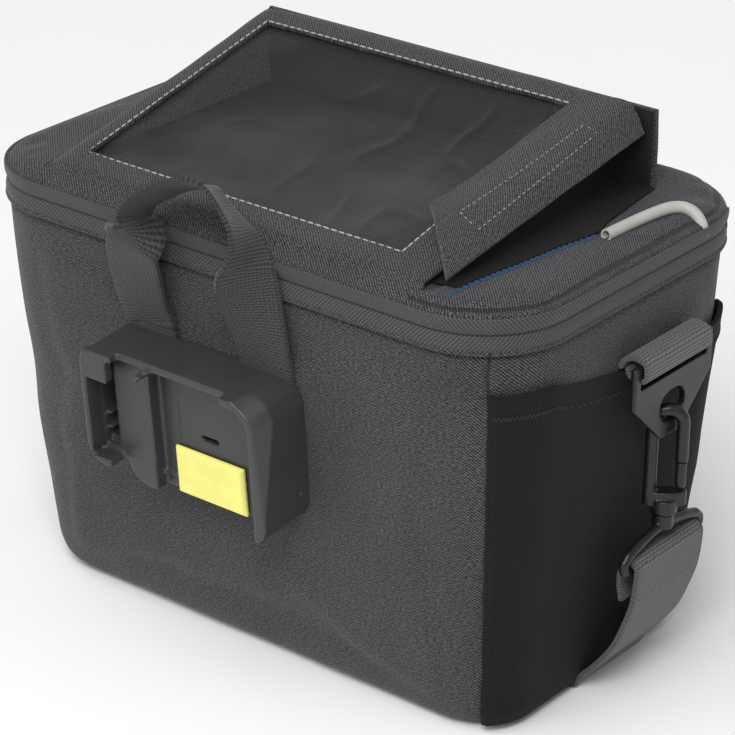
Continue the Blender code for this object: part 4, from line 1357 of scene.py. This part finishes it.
main_fabric = heather_finish("heather_twill")
body_fabric = heather_finish("heather_twill_body", seams=True)
lid_fabric = heather_finish("heather_twill_lid", lid_seam=True)
stretch = stretch_finish("stretch_knit")
zip_cloth = zip_finish("zip_herringbone")
lining = lining_finish("pocket_lining_cloth")
film = film_finish("clear_soft_film")
handle_cloth = webbing_finish("handle_ribbed", dark=0.011, light=0.072, edge=HANDLE_WEBBING / 2)
strap_cloth = webbing_finish("strap_ribbed", dark=0.045, light=0.165, edge=STRAP_WEBBING / 2)
plastic = plastic_finish("cradle_plastic", (0.042, 0.044, 0.042), roughness=0.40, grain=0.00007, wear=0.35)
yellow = plastic_finish("catch_plastic", (0.99, 0.93, 0.25), roughness=0.42, grain=0.00003)
hardware = plastic_finish("buckle_plastic", (0.008, 0.009, 0.008), roughness=0.36, grain=0.00004, wear=0.3)
piping = plastic_finish("piping_soft_grey", (0.50, 0.50, 0.47), roughness=0.45, grain=0.00004)
pale_thread = thread_finish("pale_thread", (0.34, 0.31, 0.26))
window_thread = thread_finish("window_thread", (0.50, 0.49, 0.46))
dark_thread = thread_finish("dark_thread", (0.022, 0.022, 0.023))
grey_thread = thread_finish("grey_thread", (0.19, 0.19, 0.185))
blue_thread = thread_finish("blue_thread", (0.022, 0.085, 0.185))

body = make_body(body_fabric)
lid = make_lid(lid_fabric)
body_surface = surface(body)
lid_surface = surface(lid)

make_rim_strip("zip_tapes", 14, 42, zip_profile(), zip_cloth, "zip_tape", ["zip_band"])
hinge = make_rim_strip("hinge_fabric", 2, 14, hinge_profile(), main_fabric, "graphite_fabric", ["lid_hinge"])
make_welt("welt_body", RIM_HEIGHT - 0.0011, out=-0.0007, radius=0.0011, material=body_fabric)

make_lining(lining, lid_surface)
make_frame(main_fabric, lid_surface)
make_film(film)
make_pocket_walls(main_fabric, lining)
make_flap(main_fabric)
make_piping(piping)

make_side_pocket("end_pocket_right", "side_pocket_right", *RIGHT_POCKET_TURNS, False, stretch, body_surface)
make_side_pocket("end_pocket_left", "side_pocket_left", *LEFT_POCKET_TURNS, True, stretch, body_surface)

make_handle(handle_cloth)
black = (hardware, "black_hardware")
for word, side in (("right", 1), ("left", -1)):
    make_loop("loop_webbing_" + word, "strap_loop_" + word, side, strap_cloth)
    moulded("tab_moulded_" + word, "strap_tab_" + word, *black, voxel=0.0005, rounds=3)
    moulded("hook_moulded_" + word, "snap_hook_" + word, *black, voxel=0.0004, rounds=7)
    moulded("ring_moulded_" + word, "strap_ring_" + word, *black, voxel=0.00045, rounds=5)
moulded("gate_moulded_right", "hook_gate_right", *black, voxel=0.0003, rounds=4, body="gate")
moulded("cradle_moulded", "adapter_plate", plastic, "graphite_plastic", voxel=0.0006, rounds=3)
moulded("catch_moulded", "adapter_insert", yellow, "yellow_plastic", voxel=0.0004, rounds=3)
make_strap(strap_cloth)

make_window_stitches(window_thread)
make_flap_stitches(pale_thread)
make_lid_stitches(blue_thread, lid_surface)
make_hem_stitches("hem_stitches_right", *RIGHT_POCKET_TURNS, False, dark_thread, body_surface)
make_hem_stitches("hem_stitches_left", *LEFT_POCKET_TURNS, True, dark_thread, body_surface)
make_strap_stitches(grey_thread)

for piece, slot, nodes, body_name in made_pieces:
    for vertex in piece.data.vertices:
        vertex.co.y += MIDDLE_SHIFT
    piece.data.update()
    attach(piece, body_name)
    if nodes:
        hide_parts(*nodes)

make_floor(floor_finish("pale_floor"))
